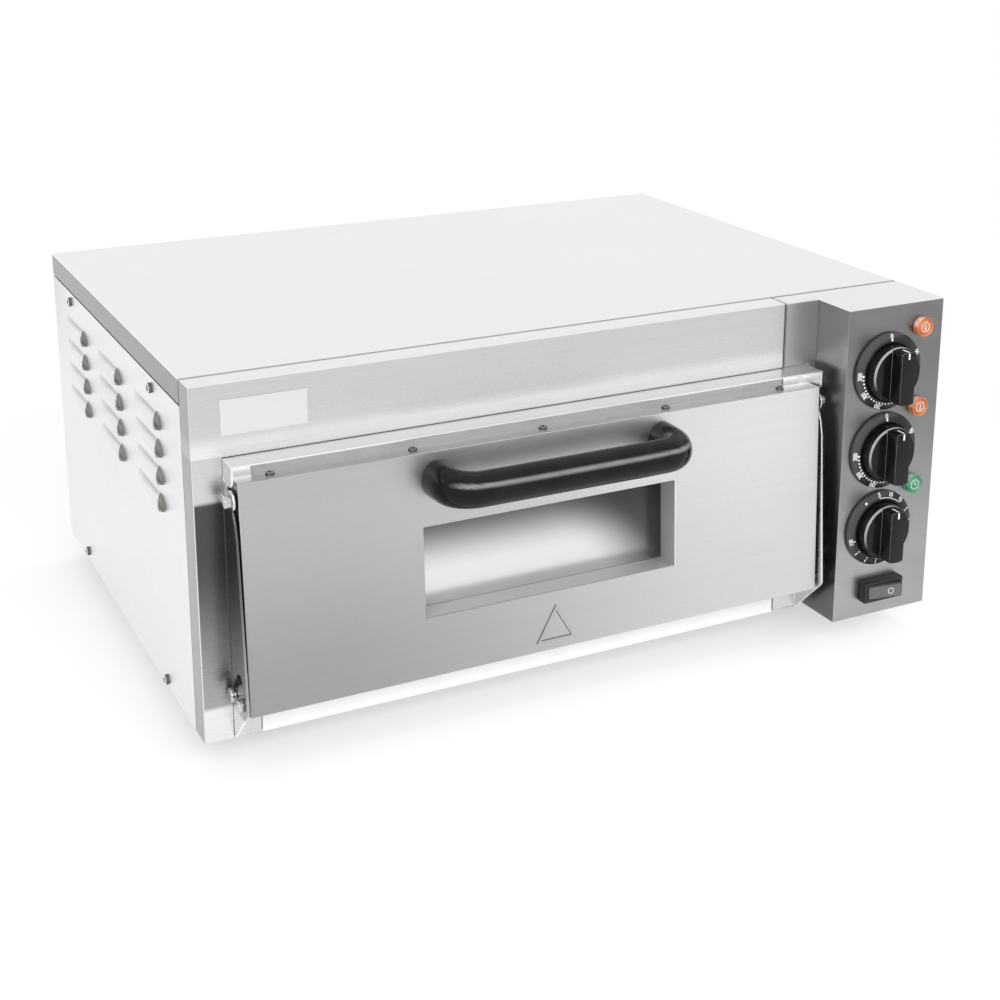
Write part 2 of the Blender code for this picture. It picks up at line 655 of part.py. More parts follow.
def control_housing(oven):
    """Boxed-out control panel with its flush strip, folded from one sheet."""
    panel = box((BOX_LEFT, PANEL_Y, BASE), (RIGHT, PANEL_Y + SHEET, TOP))
    near_side = box((BOX_LEFT, PANEL_Y, BASE), (BOX_LEFT + SHEET, SHEET, TOP))
    far_side = box((RIGHT - SHEET, PANEL_Y, BASE), (RIGHT, FRONT_RETURN, TOP))
    strip_low = CHEEK_RIGHT + GAP
    strip_step = HOOD_TOP + GAP
    outline = [(strip_low, BASE), (BOX_LEFT + SHEET, BASE), (BOX_LEFT + SHEET, TOP),
               (COLUMN_LEFT, TOP), (COLUMN_LEFT, strip_step), (strip_low, strip_step)]
    strip = prism("y", outline, 0.0, SHEET)
    top = prism("z", [(COLUMN_LEFT, 0.0), (BOX_LEFT, 0.0), (BOX_LEFT, PANEL_Y), (RIGHT, PANEL_Y),
                      (RIGHT, FRONT_RETURN), (COLUMN_LEFT, FRONT_RETURN)], TOP - SHEET, TOP)
    through = (PANEL_Y - SHEET, PANEL_Y + 2 * SHEET)
    holes = []
    for z in DIAL_HEIGHTS:
        holes.append(rod("y", (DIAL_X, z), SHAFT_RADIUS + 2 * GAP, *through, 16))
        holes.append(rod("y", (LAMP_X, z + LAMP_ABOVE_DIAL), LAMP_BARREL + GAP, *through, 16))
    half_x = SWITCH_BODY[0] / 2 + GAP
    half_z = SWITCH_BODY[1] / 2 + GAP
    holes.append(box((SWITCH_X - half_x, through[0], SWITCH_Z - half_z),
                     (SWITCH_X + half_x, through[1], SWITCH_Z + half_z)))
    solid("control_housing", STEEL, oven, panel, add=[near_side, far_side, strip, top],
          cut=[group(*holes)])


def dial_ring(axis, name):
    """Fixed scale ring with a recess that the knob turns in."""
    recess = KNOB_RADIUS + KNOB_CLEARANCE
    floor = GAP + 0.0015
    bore = SHAFT_RADIUS + 3 * GAP
    rim = [(DIAL_RADIUS, -GAP), (DIAL_RADIUS, -0.0022), (DIAL_RADIUS - 0.0010, -0.0032),
           (recess + 0.0012, -DIAL_THICKNESS), (recess, -DIAL_THICKNESS)]
    solid(name, BLACK_SATIN, axis, turned("y", (0.0, 0.0), rim, 36),
          cut=[rod("y", (0.0, 0.0), recess, -2 * DIAL_THICKNESS, -floor, 36),
               rod("y", (0.0, 0.0), bore, -DIAL_THICKNESS, GAP, 16)], smooth=True)


def knob(axis, name):
    """Round knob with a grip bar across it, bored for its shaft."""
    back = -(GAP + 0.0015 + GAP)
    disc = turned("y", (0.0, 0.0), [(KNOB_RADIUS, back), (KNOB_RADIUS - 0.0008, -KNOB_DISC + 0.0014),
                                    (KNOB_RADIUS - 0.0020, -KNOB_DISC)], 36)
    half = KNOB_BAR / 2
    reach = KNOB_RADIUS - 0.0016
    edge = math.degrees(math.acos(half / reach))
    outline = arc((0.0, 0.0), reach, edge, 180.0 - edge, 6)
    outline += arc((0.0, 0.0), reach, 180.0 + edge, 360.0 - edge, 6)
    bar = prism("y", outline, -KNOB_DISC + 0.003, -KNOB_HEIGHT)
    solid(name, BLACK_SATIN, axis, disc, add=[bar],
          cut=[rod("y", (0.0, 0.0), SHAFT_RADIUS + GAP, 0.001, -KNOB_HEIGHT + 0.006, 16)],
          smooth=True)


def shaft(axis, name):
    solid(name, STEEL, axis,
          rod("y", (0.0, 0.0), SHAFT_RADIUS, -KNOB_HEIGHT + 0.0065, SHEET + 0.012, 16),
          smooth=True)


def regulator(axis, name):
    """Thermostat or timer case behind the panel, bored for the shaft."""
    wide, deep, tall = THERMOSTAT_SIZE
    front = SHEET + GAP
    solid(name, CREAM, axis,
          box((-wide / 2, front, -tall / 2), (wide / 2, front + deep, tall / 2)),
          cut=[rod("y", (0.0, 0.0), SHAFT_RADIUS + GAP, 0.0, SHEET + 0.0125, 16)])


def dials(oven):
    names = (("upper", "upper_thermostat"), ("lower", "lower_thermostat"), ("timer", "timer"))
    for (label, case), z in zip(names, DIAL_HEIGHTS):
        axis = empty(f"{label}_knob_axis", (DIAL_X, PANEL_Y, z), oven)
        dial_ring(axis, f"{label}_dial")
        knob(axis, f"{label}_knob")
        shaft(axis, f"{label}_shaft")
        regulator(axis, case)


def lamps(oven):
    looks = (("upper_lamp", AMBER), ("lower_lamp", AMBER), ("timer_lamp", GREEN))
    for (name, look), z in zip(looks, DIAL_HEIGHTS):
        centre = (LAMP_X, z + LAMP_ABOVE_DIAL)
        face = PANEL_Y - GAP
        profile = [(LAMP_BARREL, PANEL_Y + 0.018), (LAMP_BARREL, face), (LAMP_RADIUS, face),
                   (LAMP_RADIUS, face - 0.0020), (LAMP_RADIUS - 0.0008, PANEL_Y - LAMP_REACH)]
        solid(name, look, oven, turned("y", centre, profile, 24), smooth=True)


def switch(oven):
    front = PANEL_Y - SWITCH_REACH
    wide, tall = SWITCH_SIZE
    body_wide, body_tall = SWITCH_BODY
    lean = math.radians(ROCKER_TILT)
    half = ROCKER_SIZE[0] / 2
    nose = ROCKER_PROUD + ROCKER_SINK
    pocket = half * math.cos(lean) + nose * math.sin(lean) + GAP
    pocket_tall = ROCKER_SIZE[1] / 2 + GAP
    solid("switch_housing", BLACK_SATIN, oven,
          box((SWITCH_X - wide / 2, front, SWITCH_Z - tall / 2),
              (SWITCH_X + wide / 2, PANEL_Y - GAP, SWITCH_Z + tall / 2)),
          add=[box((SWITCH_X - body_wide / 2, front + 0.001, SWITCH_Z - body_tall / 2),
                   (SWITCH_X + body_wide / 2, PANEL_Y + SWITCH_BODY_DEPTH,
                    SWITCH_Z + body_tall / 2))],
          cut=[box((SWITCH_X - pocket, front - 0.001, SWITCH_Z - pocket_tall),
                   (SWITCH_X + pocket, front + ROCKER_SINK + 0.0035, SWITCH_Z + pocket_tall))])
    axis = empty("rocker_axis", (SWITCH_X, front + ROCKER_SINK, SWITCH_Z), oven,
                 (0.0, 0.0, -lean))
    outline = [(-half, -nose), (half, -nose), (half, -0.002), (0.004, 0.0025), (-0.004, 0.0025),
               (-half, -0.002)]
    solid("rocker", SMOKED, axis,
          prism("z", outline, -ROCKER_SIZE[1] / 2, ROCKER_SIZE[1] / 2))


def services(oven):
    """Terminal block on the pan and the gland that the supply cord would pass through."""
    x = RIGHT - GLAND_FROM_RIGHT
    wide, deep, tall = TERMINALS
    back = DEPTH - 0.060
    low = (x - wide / 2, back - deep, FLOOR_TOP + GAP)
    high = (x + wide / 2, back, FLOOR_TOP + GAP + tall)
    ways = [box((x + step * 0.015 - 0.004, back - deep - 0.001, FLOOR_TOP + tall - 0.008),
                (x + step * 0.015 + 0.004, back + 0.001, FLOOR_TOP + tall + 0.002))
            for step in (-1, 0, 1)]
    solid("terminal_block", CREAM, oven, box(low, high), cut=[group(*ways)])
    inner_face = DEPTH - SHEET - GAP
    profile = [(GLAND_RADIUS, inner_face - 0.006), (GLAND_RADIUS, inner_face),
               (GLAND_BARREL, inner_face), (GLAND_BARREL, DEPTH + GAP), (GLAND_RADIUS, DEPTH + GAP),
               (GLAND_RADIUS, DEPTH + 0.006), (GLAND_RADIUS - 0.003, DEPTH + GLAND_REACH)]
    centre = (x, BASE + GLAND_HEIGHT)
    solid("cable_gland", BLACK_SATIN, oven, turned("y", centre, profile, 20),
          cut=[rod("y", centre, GLAND_BORE, inner_face - 0.010, DEPTH + 2 * GLAND_REACH, 16)],
          smooth=True)


# ---- door: y from the door axis, negative outwards, z up the door ---------------------------


def across_door(low, high, inset=0.0):
    """Box across the door, inset from its edges; low and high are (y, z)."""
    return box((DOOR_LEFT + inset, low[0], low[1]), (DOOR_RIGHT - inset, high[0], high[1]))


def window_box(grow, front, back):
    """Box the size of the window, grown all round, between two depths behind the door's face."""
    half = WINDOW_WIDTH / 2 + grow
    return box((DOOR_MIDDLE - half, SKIN_Y + front, WINDOW_LOW - grow),
               (DOOR_MIDDLE + half, SKIN_Y + back, WINDOW_HIGH + grow))


def plug_box(inset, front, back):
    """Box the size of the inner pan's plug, inset all round, between two depths."""
    left = MOUTH_LEFT + PLUG_CLEAR_X + inset
    right = MOUTH_RIGHT - PLUG_CLEAR_X - inset
    return box((left, SKIN_Y + front, PLUG_LOW + inset), (right, SKIN_Y + back, PLUG_HIGH - inset))


def door_outer_skin(door):
    low_z = -DOOR_BELOW_AXIS
    high_z = DOOR_ABOVE_AXIS
    back = SKIN_Y + DOOR_EDGE
    pin_hole = rod("x", (0.0, 0.0), PIVOT_RADIUS + GAP, DOOR_LEFT - 0.002, DOOR_RIGHT + 0.002)
    solid("door_outer_skin", STEEL, door,
          across_door((SKIN_Y, low_z), (back, high_z)),
          cut=[across_door((SKIN_Y + DOOR_SKIN, low_z + DOOR_SKIN),
                           (back + 0.001, high_z - DOOR_SKIN), DOOR_SKIN),
               window_box(0.0, -0.001, 2 * DOOR_SKIN), pin_hole])


def door_inner_pan(door):
    """Back of the door: a flange in the tray and a plug that fills the oven's mouth."""
    inset = DOOR_SKIN + GAP
    flange_front = SKIN_Y + DOOR_EDGE - DOOR_SKIN
    flange = across_door((flange_front, -DOOR_BELOW_AXIS + inset),
                         (flange_front + DOOR_SKIN, DOOR_ABOVE_AXIS - inset), inset)
    front = DOOR_EDGE - DOOR_SKIN
    back = DOOR_EDGE + PLUG_DEPTH
    notch_low = (SKIN_Y + DOOR_EDGE / 2, -2 * DOOR_BELOW_AXIS)
    notch_high = (SKIN_Y + 2 * DOOR_EDGE, 0.0140)
    notches = [box((x, notch_low[0], notch_low[1]), (x + 0.006, notch_high[0], notch_high[1]))
               for x in (DOOR_LEFT - 0.0005, DOOR_RIGHT - 0.0055)]
    solid("door_inner_pan", STEEL, door, flange, add=[plug_box(0.0, front, back)],
          cut=[plug_box(DOOR_SKIN, front - 0.001, back - DOOR_SKIN),
               window_box(0.003, back - 0.002, back + 0.001), group(*notches)])


def window_pieces(door):
    """Tunnel through the door, the pane behind it and the ring that clamps the pane."""
    tunnel_front = DOOR_SKIN + GAP
    pane_front = TUNNEL_DEPTH + GAP
    pane_back = pane_front + GLASS
    ring_back = DOOR_EDGE + PLUG_DEPTH - DOOR_SKIN - GAP
    solid("window_tunnel", STEEL, door,
          window_box(TUNNEL_WALL, tunnel_front, TUNNEL_DEPTH),
          cut=[window_box(0.0, 0.0, TUNNEL_DEPTH + 0.001)])
    solid("door_glass", CLEAR_GLASS, door, window_box(GLASS_EDGE, pane_front, pane_back))
    solid("glass_retainer", GALVANISED, door,
          window_box(GLASS_EDGE, pane_back + GAP, ring_back),
          cut=[window_box(GLASS_EDGE - RETAINER_EDGE, pane_back, ring_back + 0.001)])


def door_insulation(door):
    front = DOOR_SKIN + GAP
    tray_back = SKIN_Y + DOOR_EDGE - DOOR_SKIN - GAP
    plug_back = DOOR_EDGE + PLUG_DEPTH - DOOR_SKIN - GAP
    solid("door_insulation", WOOL, door,
          across_door((SKIN_Y + front, -DOOR_BELOW_AXIS + 0.006),
                      (tray_back, DOOR_ABOVE_AXIS - 0.006), 0.012),
          add=[plug_box(DOOR_SKIN + GAP, front + 0.002, plug_back)],
          cut=[window_box(TUNNEL_WALL + GAP, 0.0, TUNNEL_DEPTH + GLASS),
               window_box(GLASS_EDGE + GAP, TUNNEL_DEPTH, plug_back + 0.001)])


def stop_pin_spot():
    """Stop pin's place on the shut door: level with the door axis, behind it."""
    return (STOP_RADIUS * math.cos(LEAN), STOP_RADIUS * math.sin(LEAN))


def hinge_plates(door):
    """Steel plate in each lower corner of the door, carrying the axis bore and the stop pin."""
    front = SKIN_Y + DOOR_SKIN + GAP
    low = -DOOR_BELOW_AXIS + DOOR_SKIN + GAP
    outline = [(front, low), (0.008, low), (STOP_RADIUS + 0.0042, -0.0036),
               (STOP_RADIUS + 0.0042, 0.0048), (0.009, 0.012), (front, 0.012)]
    near = DOOR_SKIN + GAP
    sides = (("left", DOOR_LEFT + near, 1.0), ("right", DOOR_RIGHT - near, -1.0))
    for side, start, inward in sides:
        low_x, high_x = sorted((start, start + inward * 0.003))
        through = (low_x - 0.001, high_x + 0.001)
        solid(f"door_hinge_plate_{side}", DARK_STEEL, door, prism("x", outline, low_x, high_x),
              cut=[group(rod("x", (0.0, 0.0), PIVOT_RADIUS + GAP, *through, 16),
                         rod("x", stop_pin_spot(), STOP_PIN + GAP, *through, 16))])


def headed_pin(name, parent, centre, cheek, inward, radii, reach, sides):
    """Pin through a cheek with its head outside."""
    radius, head = radii
    seat = cheek - inward * GAP
    profile = [(head - 0.0006, seat - inward * 0.0038), (head, seat - inward * 0.0030),
               (head, seat), (radius, seat), (radius, cheek + inward * reach)]
    solid(name, STEEL, parent, turned("x", centre, profile, sides), smooth=True)


def door_pins(oven, door):
    sides = (("left", CHEEK_LEFT, 1.0), ("right", CHEEK_RIGHT, -1.0))
    reach = CHEEK + DOOR_SIDE_GAP + 0.0050
    for side, cheek, inward in sides:
        headed_pin(f"hinge_pin_{side}", oven, (-PIVOT_DEPTH, PIVOT_Z), cheek, inward,
                   (PIVOT_RADIUS, PIVOT_HEAD), reach, 12)
        headed_pin(f"stop_pin_{side}", door, stop_pin_spot(), cheek, inward,
                   (STOP_PIN, STOP_HEAD), reach, 12)


def handle(door):
    """Bow handle: two legs that bend into a thick round grip."""
    face = SKIN_Y - GAP
    grip_y = SKIN_Y - HANDLE_REACH
    leg_x = HANDLE_PITCH / 2
    stations = [(leg_x, face, 0.0, 0.0), (leg_x, grip_y + HANDLE_BEND, 0.0, 0.25)]
    for step in range(1, 7):
        turn = 90.0 * step / 6
        share = step / 6
        x = leg_x - HANDLE_BEND * (1.0 - math.cos(math.radians(turn)))
        y = grip_y + HANDLE_BEND * (1.0 - math.sin(math.radians(turn)))
        stations.append((x, y, turn, 0.25 + 0.75 * share))
    stations.append((leg_x - HANDLE_BEND - 0.012, grip_y, 90.0, 1.0))
    half = [(x, y, turn, share) for x, y, turn, share in stations]
    other = [(-x, y, 180.0 - turn, share) for x, y, turn, share in reversed(half)]
    rings = []
    for x, y, turn, share in half + other:
        wide = HANDLE_LEG[0] + (HANDLE_GRIP - HANDLE_LEG[0]) * share
        tall = HANDLE_LEG[1] + (HANDLE_GRIP - HANDLE_LEG[1]) * share
        ring = []
        for index in range(18):
            angle = 2 * math.pi * index / 18
            across = wide * math.cos(angle)
            ring.append((DOOR_MIDDLE + x + across * math.cos(math.radians(turn)),
                         y - across * math.sin(math.radians(turn)),
                         HANDLE_HEIGHT + tall * math.sin(angle)))
        rings.append(ring)
    solid("handle", BLACK_GLOSS, door, loft(rings), smooth=True)


# ---- assembly -------------------------------------------------------------------------------


def build():
    clear_scene()
    oven = empty("oven", (0.0, FASCIA_Y, 0.0))
    base_pan(oven)
    front_frame(oven)
    mouth_frame(oven)
    hinge_bracket(oven, "left", CHEEK_LEFT, CHEEK_LEFT + CHEEK, CHEEK_LEFT + FLANGE)
    hinge_bracket(oven, "right", CHEEK_RIGHT, CHEEK_RIGHT - CHEEK, COLUMN_LEFT)
    hood(oven)
    side_panel(oven, "left", -1.0)
    side_panel(oven, "right", 1.0)
    back_panel(oven)
    top_cover(oven)
    feet(oven)
    chamber_liner(oven)
    stone_rails(oven)
    baking_stone(oven)
    heating_element(oven, "lower_element", LOWER_ELEMENT_Z)
    heating_element(oven, "upper_element", UPPER_ELEMENT_Z)
    sensing_bulbs(oven)
    insulation(oven)
    control_partition(oven)
    control_housing(oven)
    dials(oven)
    lamps(oven)
    switch(oven)
    services(oven)
    door = empty("door_axis", (0.0, -PIVOT_DEPTH, PIVOT_Z), oven, (-LEAN, 0.0, 0.0))
    door_outer_skin(door)
    door_inner_pan(door)
    window_pieces(door)
    door_insulation(door)
    hinge_plates(door)
    door_pins(oven, door)
    handle(door)


build()
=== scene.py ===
import json
import math

import bpy
from mathutils import Euler, Matrix, Vector


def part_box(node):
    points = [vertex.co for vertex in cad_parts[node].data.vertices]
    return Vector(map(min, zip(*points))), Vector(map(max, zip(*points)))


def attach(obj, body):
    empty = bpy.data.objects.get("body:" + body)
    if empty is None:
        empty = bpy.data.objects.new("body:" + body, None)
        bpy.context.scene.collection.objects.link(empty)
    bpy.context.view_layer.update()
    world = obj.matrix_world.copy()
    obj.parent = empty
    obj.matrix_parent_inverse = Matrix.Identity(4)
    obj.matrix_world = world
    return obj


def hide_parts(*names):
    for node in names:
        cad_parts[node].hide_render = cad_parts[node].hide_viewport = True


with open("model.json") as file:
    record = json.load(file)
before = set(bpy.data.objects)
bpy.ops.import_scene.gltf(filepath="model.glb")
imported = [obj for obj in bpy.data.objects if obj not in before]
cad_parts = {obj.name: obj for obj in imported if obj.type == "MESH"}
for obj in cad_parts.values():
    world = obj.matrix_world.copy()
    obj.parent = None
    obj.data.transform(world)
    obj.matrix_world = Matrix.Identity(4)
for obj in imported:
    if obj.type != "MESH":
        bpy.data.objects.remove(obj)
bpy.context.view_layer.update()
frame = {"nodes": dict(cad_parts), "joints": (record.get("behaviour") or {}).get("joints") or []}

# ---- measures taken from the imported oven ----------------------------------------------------

FRONT_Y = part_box("front_frame")[0].y
TOP_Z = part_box("top_cover")[1].z
LEFT_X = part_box("top_cover")[0].x
RIGHT_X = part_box("top_cover")[1].x
BACK_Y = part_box("back_panel")[1].y
BASE_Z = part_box("base_pan")[0].z
CHEEK_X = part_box("hinge_bracket_left")[0].x
CHEEK_RIGHT_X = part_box("hood")[1].x
PANEL_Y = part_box("control_housing")[0].y
LOUVRE_PROUD = 0.0042
SIDE_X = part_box("right_side_panel")[1].x - LOUVRE_PROUD
COLUMN_BOX_WIDE = 0.0855
BOX_LEFT_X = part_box("control_housing")[1].x - COLUMN_BOX_WIDE
LID_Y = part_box("top_cover")[0].y
HOOD_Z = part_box("hood")[0].z
COLUMN_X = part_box("control_housing")[0].x
JOINTS = {joint["name"]: joint for joint in frame["joints"]}
DOOR_PIVOT = Vector(JOINTS["door_hinge"]["pos_m"])
DOOR_LEAN = math.radians(2.5)
DOOR_FACE = -0.00465
DOOR_TURN = Matrix.Translation(DOOR_PIVOT) @ Matrix.Rotation(-DOOR_LEAN, 4, "X")
DIALS = {name: Vector(JOINTS[joint]["pos_m"]) for name, joint in (
    ("upper", "upper_thermostat_turn"), ("lower", "lower_thermostat_turn"), ("timer", "timer_turn"))}

# ---- shader wiring --------------------------------------------------------------------------


class Wire:
    """A value running through a node tree; sums on it add the Math nodes."""

    def __init__(self, graph, socket):
        self.graph = graph
        self.socket = socket

    def reckon(self, operation, first, second):
        return self.graph.node("ShaderNodeMath", {"operation": operation}, {0: first, 1: second})

    def __add__(self, other):
        return self.reckon("ADD", self, other)

    def __sub__(self, other):
        return self.reckon("SUBTRACT", self, other)

    def __rsub__(self, other):
        return self.reckon("SUBTRACT", other, self)

    def __mul__(self, other):
        return self.reckon("MULTIPLY", self, other)

    __radd__ = __add__
    __rmul__ = __mul__

    def over(self, low, high):
        """0 below low, 1 above high, smooth between."""
        return self.graph.node("ShaderNodeMapRange", {"interpolation_type": "SMOOTHSTEP"},
                               {"Value": self, "From Min": low, "From Max": high})

    def within(self, start, full, fade, end):
        """0 up to start, 1 from full to fade, 0 again past end."""
        return self.over(start, full) * (1.0 - self.over(fade, end))


class Graph:
    """A node tree that nodes are added to by type."""

    def __init__(self, tree):
        self.tree = tree

    def node(self, kind, settings=None, sockets=None, out=0):
        made = self.tree.nodes.new(kind)
        for key, value in (settings or {}).items():
            setattr(made, key, value)
        for key, value in (sockets or {}).items():
            if isinstance(value, Wire):
                self.tree.links.new(value.socket, made.inputs[key])
            else:
                made.inputs[key].default_value = value
        return Wire(self, made.outputs[out])


class Finish(Graph):
    """One material: a Principled shader and what feeds it."""

    def __init__(self, name, **fixed):
        self.material = bpy.data.materials.new(name)
        self.material.use_nodes = True
        super().__init__(self.material.node_tree)
        self.shader = self.tree.nodes["Principled BSDF"]
        for socket, value in fixed.items():
            self.shader.inputs[socket.replace("_", " ").title().replace("Ior", "IOR")].default_value = value
        self.place = self.node("ShaderNodeTexCoord", out="Object")

    def scaled(self, scale):
        """Object coordinates multiplied along each axis."""
        return self.node("ShaderNodeMapping", {}, {"Vector": self.place, "Scale": scale})

    def facing(self):
        """The surface's own direction, as x, y and z."""
        return self.parts(self.node("ShaderNodeTexCoord", out="Normal"))

    def size_of(self, wire):
        return self.node("ShaderNodeMath", {"operation": "ABSOLUTE"}, {0: wire})

    def fold(self, low=0.80, high=0.96):
        """1 on a rounded edge, 0 on a flat that lies square to the oven."""
        sizes = [self.size_of(wire) for wire in self.facing()]
        most = self.node("ShaderNodeMath", {"operation": "MAXIMUM"}, {0: sizes[0], 1: sizes[1]})
        most = self.node("ShaderNodeMath", {"operation": "MAXIMUM"}, {0: most, 1: sizes[2]})
        return 1.0 - most.over(low, high)

    def parts(self, vector=None):
        vector = vector or self.place
        return [self.node("ShaderNodeSeparateXYZ", {}, {0: vector}, out) for out in range(3)]

    def noise(self, scale, detail, rough, place=None):
        return self.node("ShaderNodeTexNoise", {},
                         {"Vector": place or self.place, "Scale": scale, "Detail": detail,
                          "Roughness": rough}, "Fac")

    def cells(self, scale):
        return self.node("ShaderNodeTexVoronoi", {}, {"Vector": self.place, "Scale": scale}, "Distance")

    def blend(self, share, first, second):
        return self.node("ShaderNodeMix", {"data_type": "RGBA"}, {0: share, 6: first, 7: second}, 2)

    def bump(self, height, strength, distance):
        return self.node("ShaderNodeBump", {}, {"Height": height, "Strength": strength, "Distance": distance})

    def feed(self, **links):
        for socket, wire in links.items():
            self.tree.links.new(wire.socket, self.shader.inputs[socket.replace("_", " ").title()])
        return self.material


def grey(value, warmth=0.0):
    return (value * (1.0 + warmth), value, value * (1.0 - warmth), 1.0)


# ---- finishes -------------------------------------------------------------------------------


STEEL_WARMTH = 0.006
# strength of the painted glow on steel
STEEL_GLOW = 0.55


def brushed_steel(name, tone, along, length, roughness, cloud=0.05, streak=0.07, shade=None, edge=0.5,
                  glow=None):
    """Stainless sheet brushed along one axis; length is the grain's length in metres. Edge lightens the
    rounded folds as a painted highlight; glow adds a painted glow.
    """
    made = Finish(name, metallic=1.0)
    stretch = [1.0 / length if axis == along else 1400.0 for axis in "xyz"]
    long_stretch = [3.0 if axis == along else 420.0 for axis in "xyz"]
    grain = made.noise(1.0, 2.0, 0.55, made.scaled(stretch))
    bands = made.noise(1.0, 3.0, 0.6, made.scaled(long_stretch))
    clouds = made.noise(5.0, 3.0, 0.55)
    wipes = made.noise(1.0, 2.0, 0.5, made.scaled([14.0 if axis == along else 60.0 for axis in "xyz"]))
    level = 1.0 + (grain - 0.5) * (2.0 * streak) + (bands - 0.5) * streak + (clouds - 0.5) * (2.0 * cloud)
    if shade:
        level = level * shade(made)
    # painted highlight: the rounded folds lightened by edge
    if edge:
        level = level * (1.0 + made.fold() * edge)
    colour = made.blend(level * 0.5, grey(0.0), grey(2.0 * tone, STEEL_WARMTH))
    rough = roughness + (grain - 0.5) * 0.10 + (wipes - 0.5) * 0.08
    relief = made.bump(grain, 0.10, 0.00006)
    # painted glow, where glow is given
    if glow:
        made.shader.inputs["Emission Strength"].default_value = STEEL_GLOW
        made.feed(emission_color=made.blend(glow(made), grey(0.0), grey(1.0)))
    return made.feed(base_color=colour, roughness=rough, normal=relief)


def rolled_steel(name, tone, roughness, mottle=0.06, scale=40.0, metallic=1.0, glow=0.0):
    """Smooth mill sheet, faintly clouded; glow adds a painted glow."""
    made = Finish(name, metallic=metallic, emission_strength=glow)
    clouds = made.noise(scale, 4.0, 0.6)
    fine = made.noise(scale * 24, 2.0, 0.5)
    colour = made.blend(clouds, grey(tone * (1 - mottle)), grey(tone * (1 + mottle)))
    return made.feed(base_color=colour, roughness=roughness + (clouds - 0.5) * 0.12 + (fine - 0.5) * 0.06,
                     normal=made.bump(fine, 0.08, 0.00005))


def screw_steel(name, axis):
    """Bright head with painted shade on its flank and recess walls; axis is the screw's own, 0 to 2."""
    made = Finish(name, metallic=1.0)
    fine = made.noise(2600.0, 2.0, 0.5)
    face = made.size_of(made.facing()[axis]).over(0.30, 0.80)
    colour = made.blend(face * 0.85 + fine * 0.15, grey(0.09), grey(0.78))
    return made.feed(base_color=colour, roughness=0.26 + fine * 0.12)


def moulded_plastic(name, tone, roughness, pebble, pebble_size=0.0006, coat=0.0, level=0.3, sheen=None,
                    light=0.10):
    """Black moulding: faint pebbling, dust and rubbed patches, and a painted sheen where one is given."""
    made = Finish(name, coat_weight=coat, coat_roughness=0.08, specular_ior_level=level)
    skin = made.noise(1.0 / pebble_size, 2.0, 0.55)
    rubbed = made.noise(55.0, 3.0, 0.6).over(0.35, 0.75)
    dust = made.noise(900.0, 2.0, 0.6).over(0.62, 0.80)
    share = (dust * 0.03 + rubbed * 0.04) * (0.10 / light)
    if sheen:
        share = share + sheen(made)
    colour = made.blend(share, grey(tone, 0.01), grey(tone + light, 0.01))
    return made.feed(base_color=colour, roughness=roughness + (rubbed - 0.5) * 0.08 + (skin - 0.5) * 0.05,
                     normal=made.bump(skin, pebble, 0.00005))


def opaque(parts):
    return (*parts, 1.0)


def tinted_lens(name, colour, glow):
    """Moulded lens with painted shade on its lower right and a painted highlight on its upper left."""
    made = Finish(name, transmission_weight=0.30, ior=1.49, specular_ior_level=0.7, coat_weight=1.0,
                  coat_roughness=0.03, emission_strength=glow)
    flecks = made.noise(700.0, 2.0, 0.5)
    depth = made.noise(420.0, 2.0, 0.6)
    x, _, z = made.facing()
    painted_shade_tint = opaque(part * 0.22 for part in colour)
    pale = opaque(min(1.0, part * 1.25 + 0.06) for part in colour)
    # painted shade on faces that look down and to the right
    tint = made.blend((z - x * 0.6).over(-0.9, 0.7), painted_shade_tint, opaque(colour))
    tint = made.blend(depth.over(0.50, 0.72) * 0.7, tint, pale)
    # painted highlight on faces that look up and to the left
    tint = made.blend((z - x).over(0.85, 1.30) * 0.55, tint, (1.0, 0.95, 0.88, 1.0))
    return made.feed(base_color=tint, emission_color=tint, roughness=0.06 + flecks * 0.10,
                     normal=made.bump(depth, 0.15, 0.0003))


def print_ink(name, tone):
    made = Finish(name, specular_ior_level=0.3)
    wear_and_sheen_noise = made.noise(1500.0, 2.0, 0.6)
    return made.feed(base_color=made.blend(wear_and_sheen_noise.over(0.3, 0.8), grey(tone), grey(tone * 0.86)),
                     roughness=0.45 + wear_and_sheen_noise * 0.15)


def coated_pane(name):
    """Heat-reflecting oven glass: a half mirror with a soft sheen, and a painted reflection darkening it
    towards the top and the right.
    """
    made = Finish(name, metallic=0.86, ior=1.5, transmission_weight=0.8)
    low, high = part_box("door_glass")
    x, _, z = made.parts()
    haze = made.noise(9.0, 3.0, 0.5)
    grain = made.noise(2600.0, 2.0, 0.6)
    # painted reflection: darker towards the top and towards the upper right
    dark_top_reflection = z.over(low.z + 0.034, high.z - 0.016)
    corner = high.x + low.z * 0.9
    side = (x + z * 0.9).over(corner - 0.050, corner + 0.012)
    painted_reflection_light = (1.0 - dark_top_reflection * 0.88) * (1.0 - side * 0.94)
    return made.feed(base_color=made.blend(painted_reflection_light, grey(0.05), grey(0.80)),
                     roughness=0.16 + haze * 0.06 + grain * 0.08)


def fired_stone(name):
    made = Finish(name, specular_ior_level=0.25)
    body = made.noise(38.0, 6.0, 0.65)
    grit = made.noise(900.0, 3.0, 0.6)
    pits = made.cells(420.0).over(0.05, 0.24)
    scorch = made.noise(7.0, 3.0, 0.55).over(0.45, 0.72)
    base = made.blend(body, (0.60, 0.53, 0.42, 1), (0.72, 0.65, 0.54, 1))
    speckled = made.blend(grit.over(0.55, 0.72), base, (0.42, 0.36, 0.28, 1))
    browned = made.blend(scorch * 0.35, speckled, (0.34, 0.25, 0.17, 1))
    return made.feed(base_color=browned, roughness=0.80 + grit * 0.15,
                     normal=made.bump(pits * 0.6 + grit * 0.4, 0.5, 0.0006))


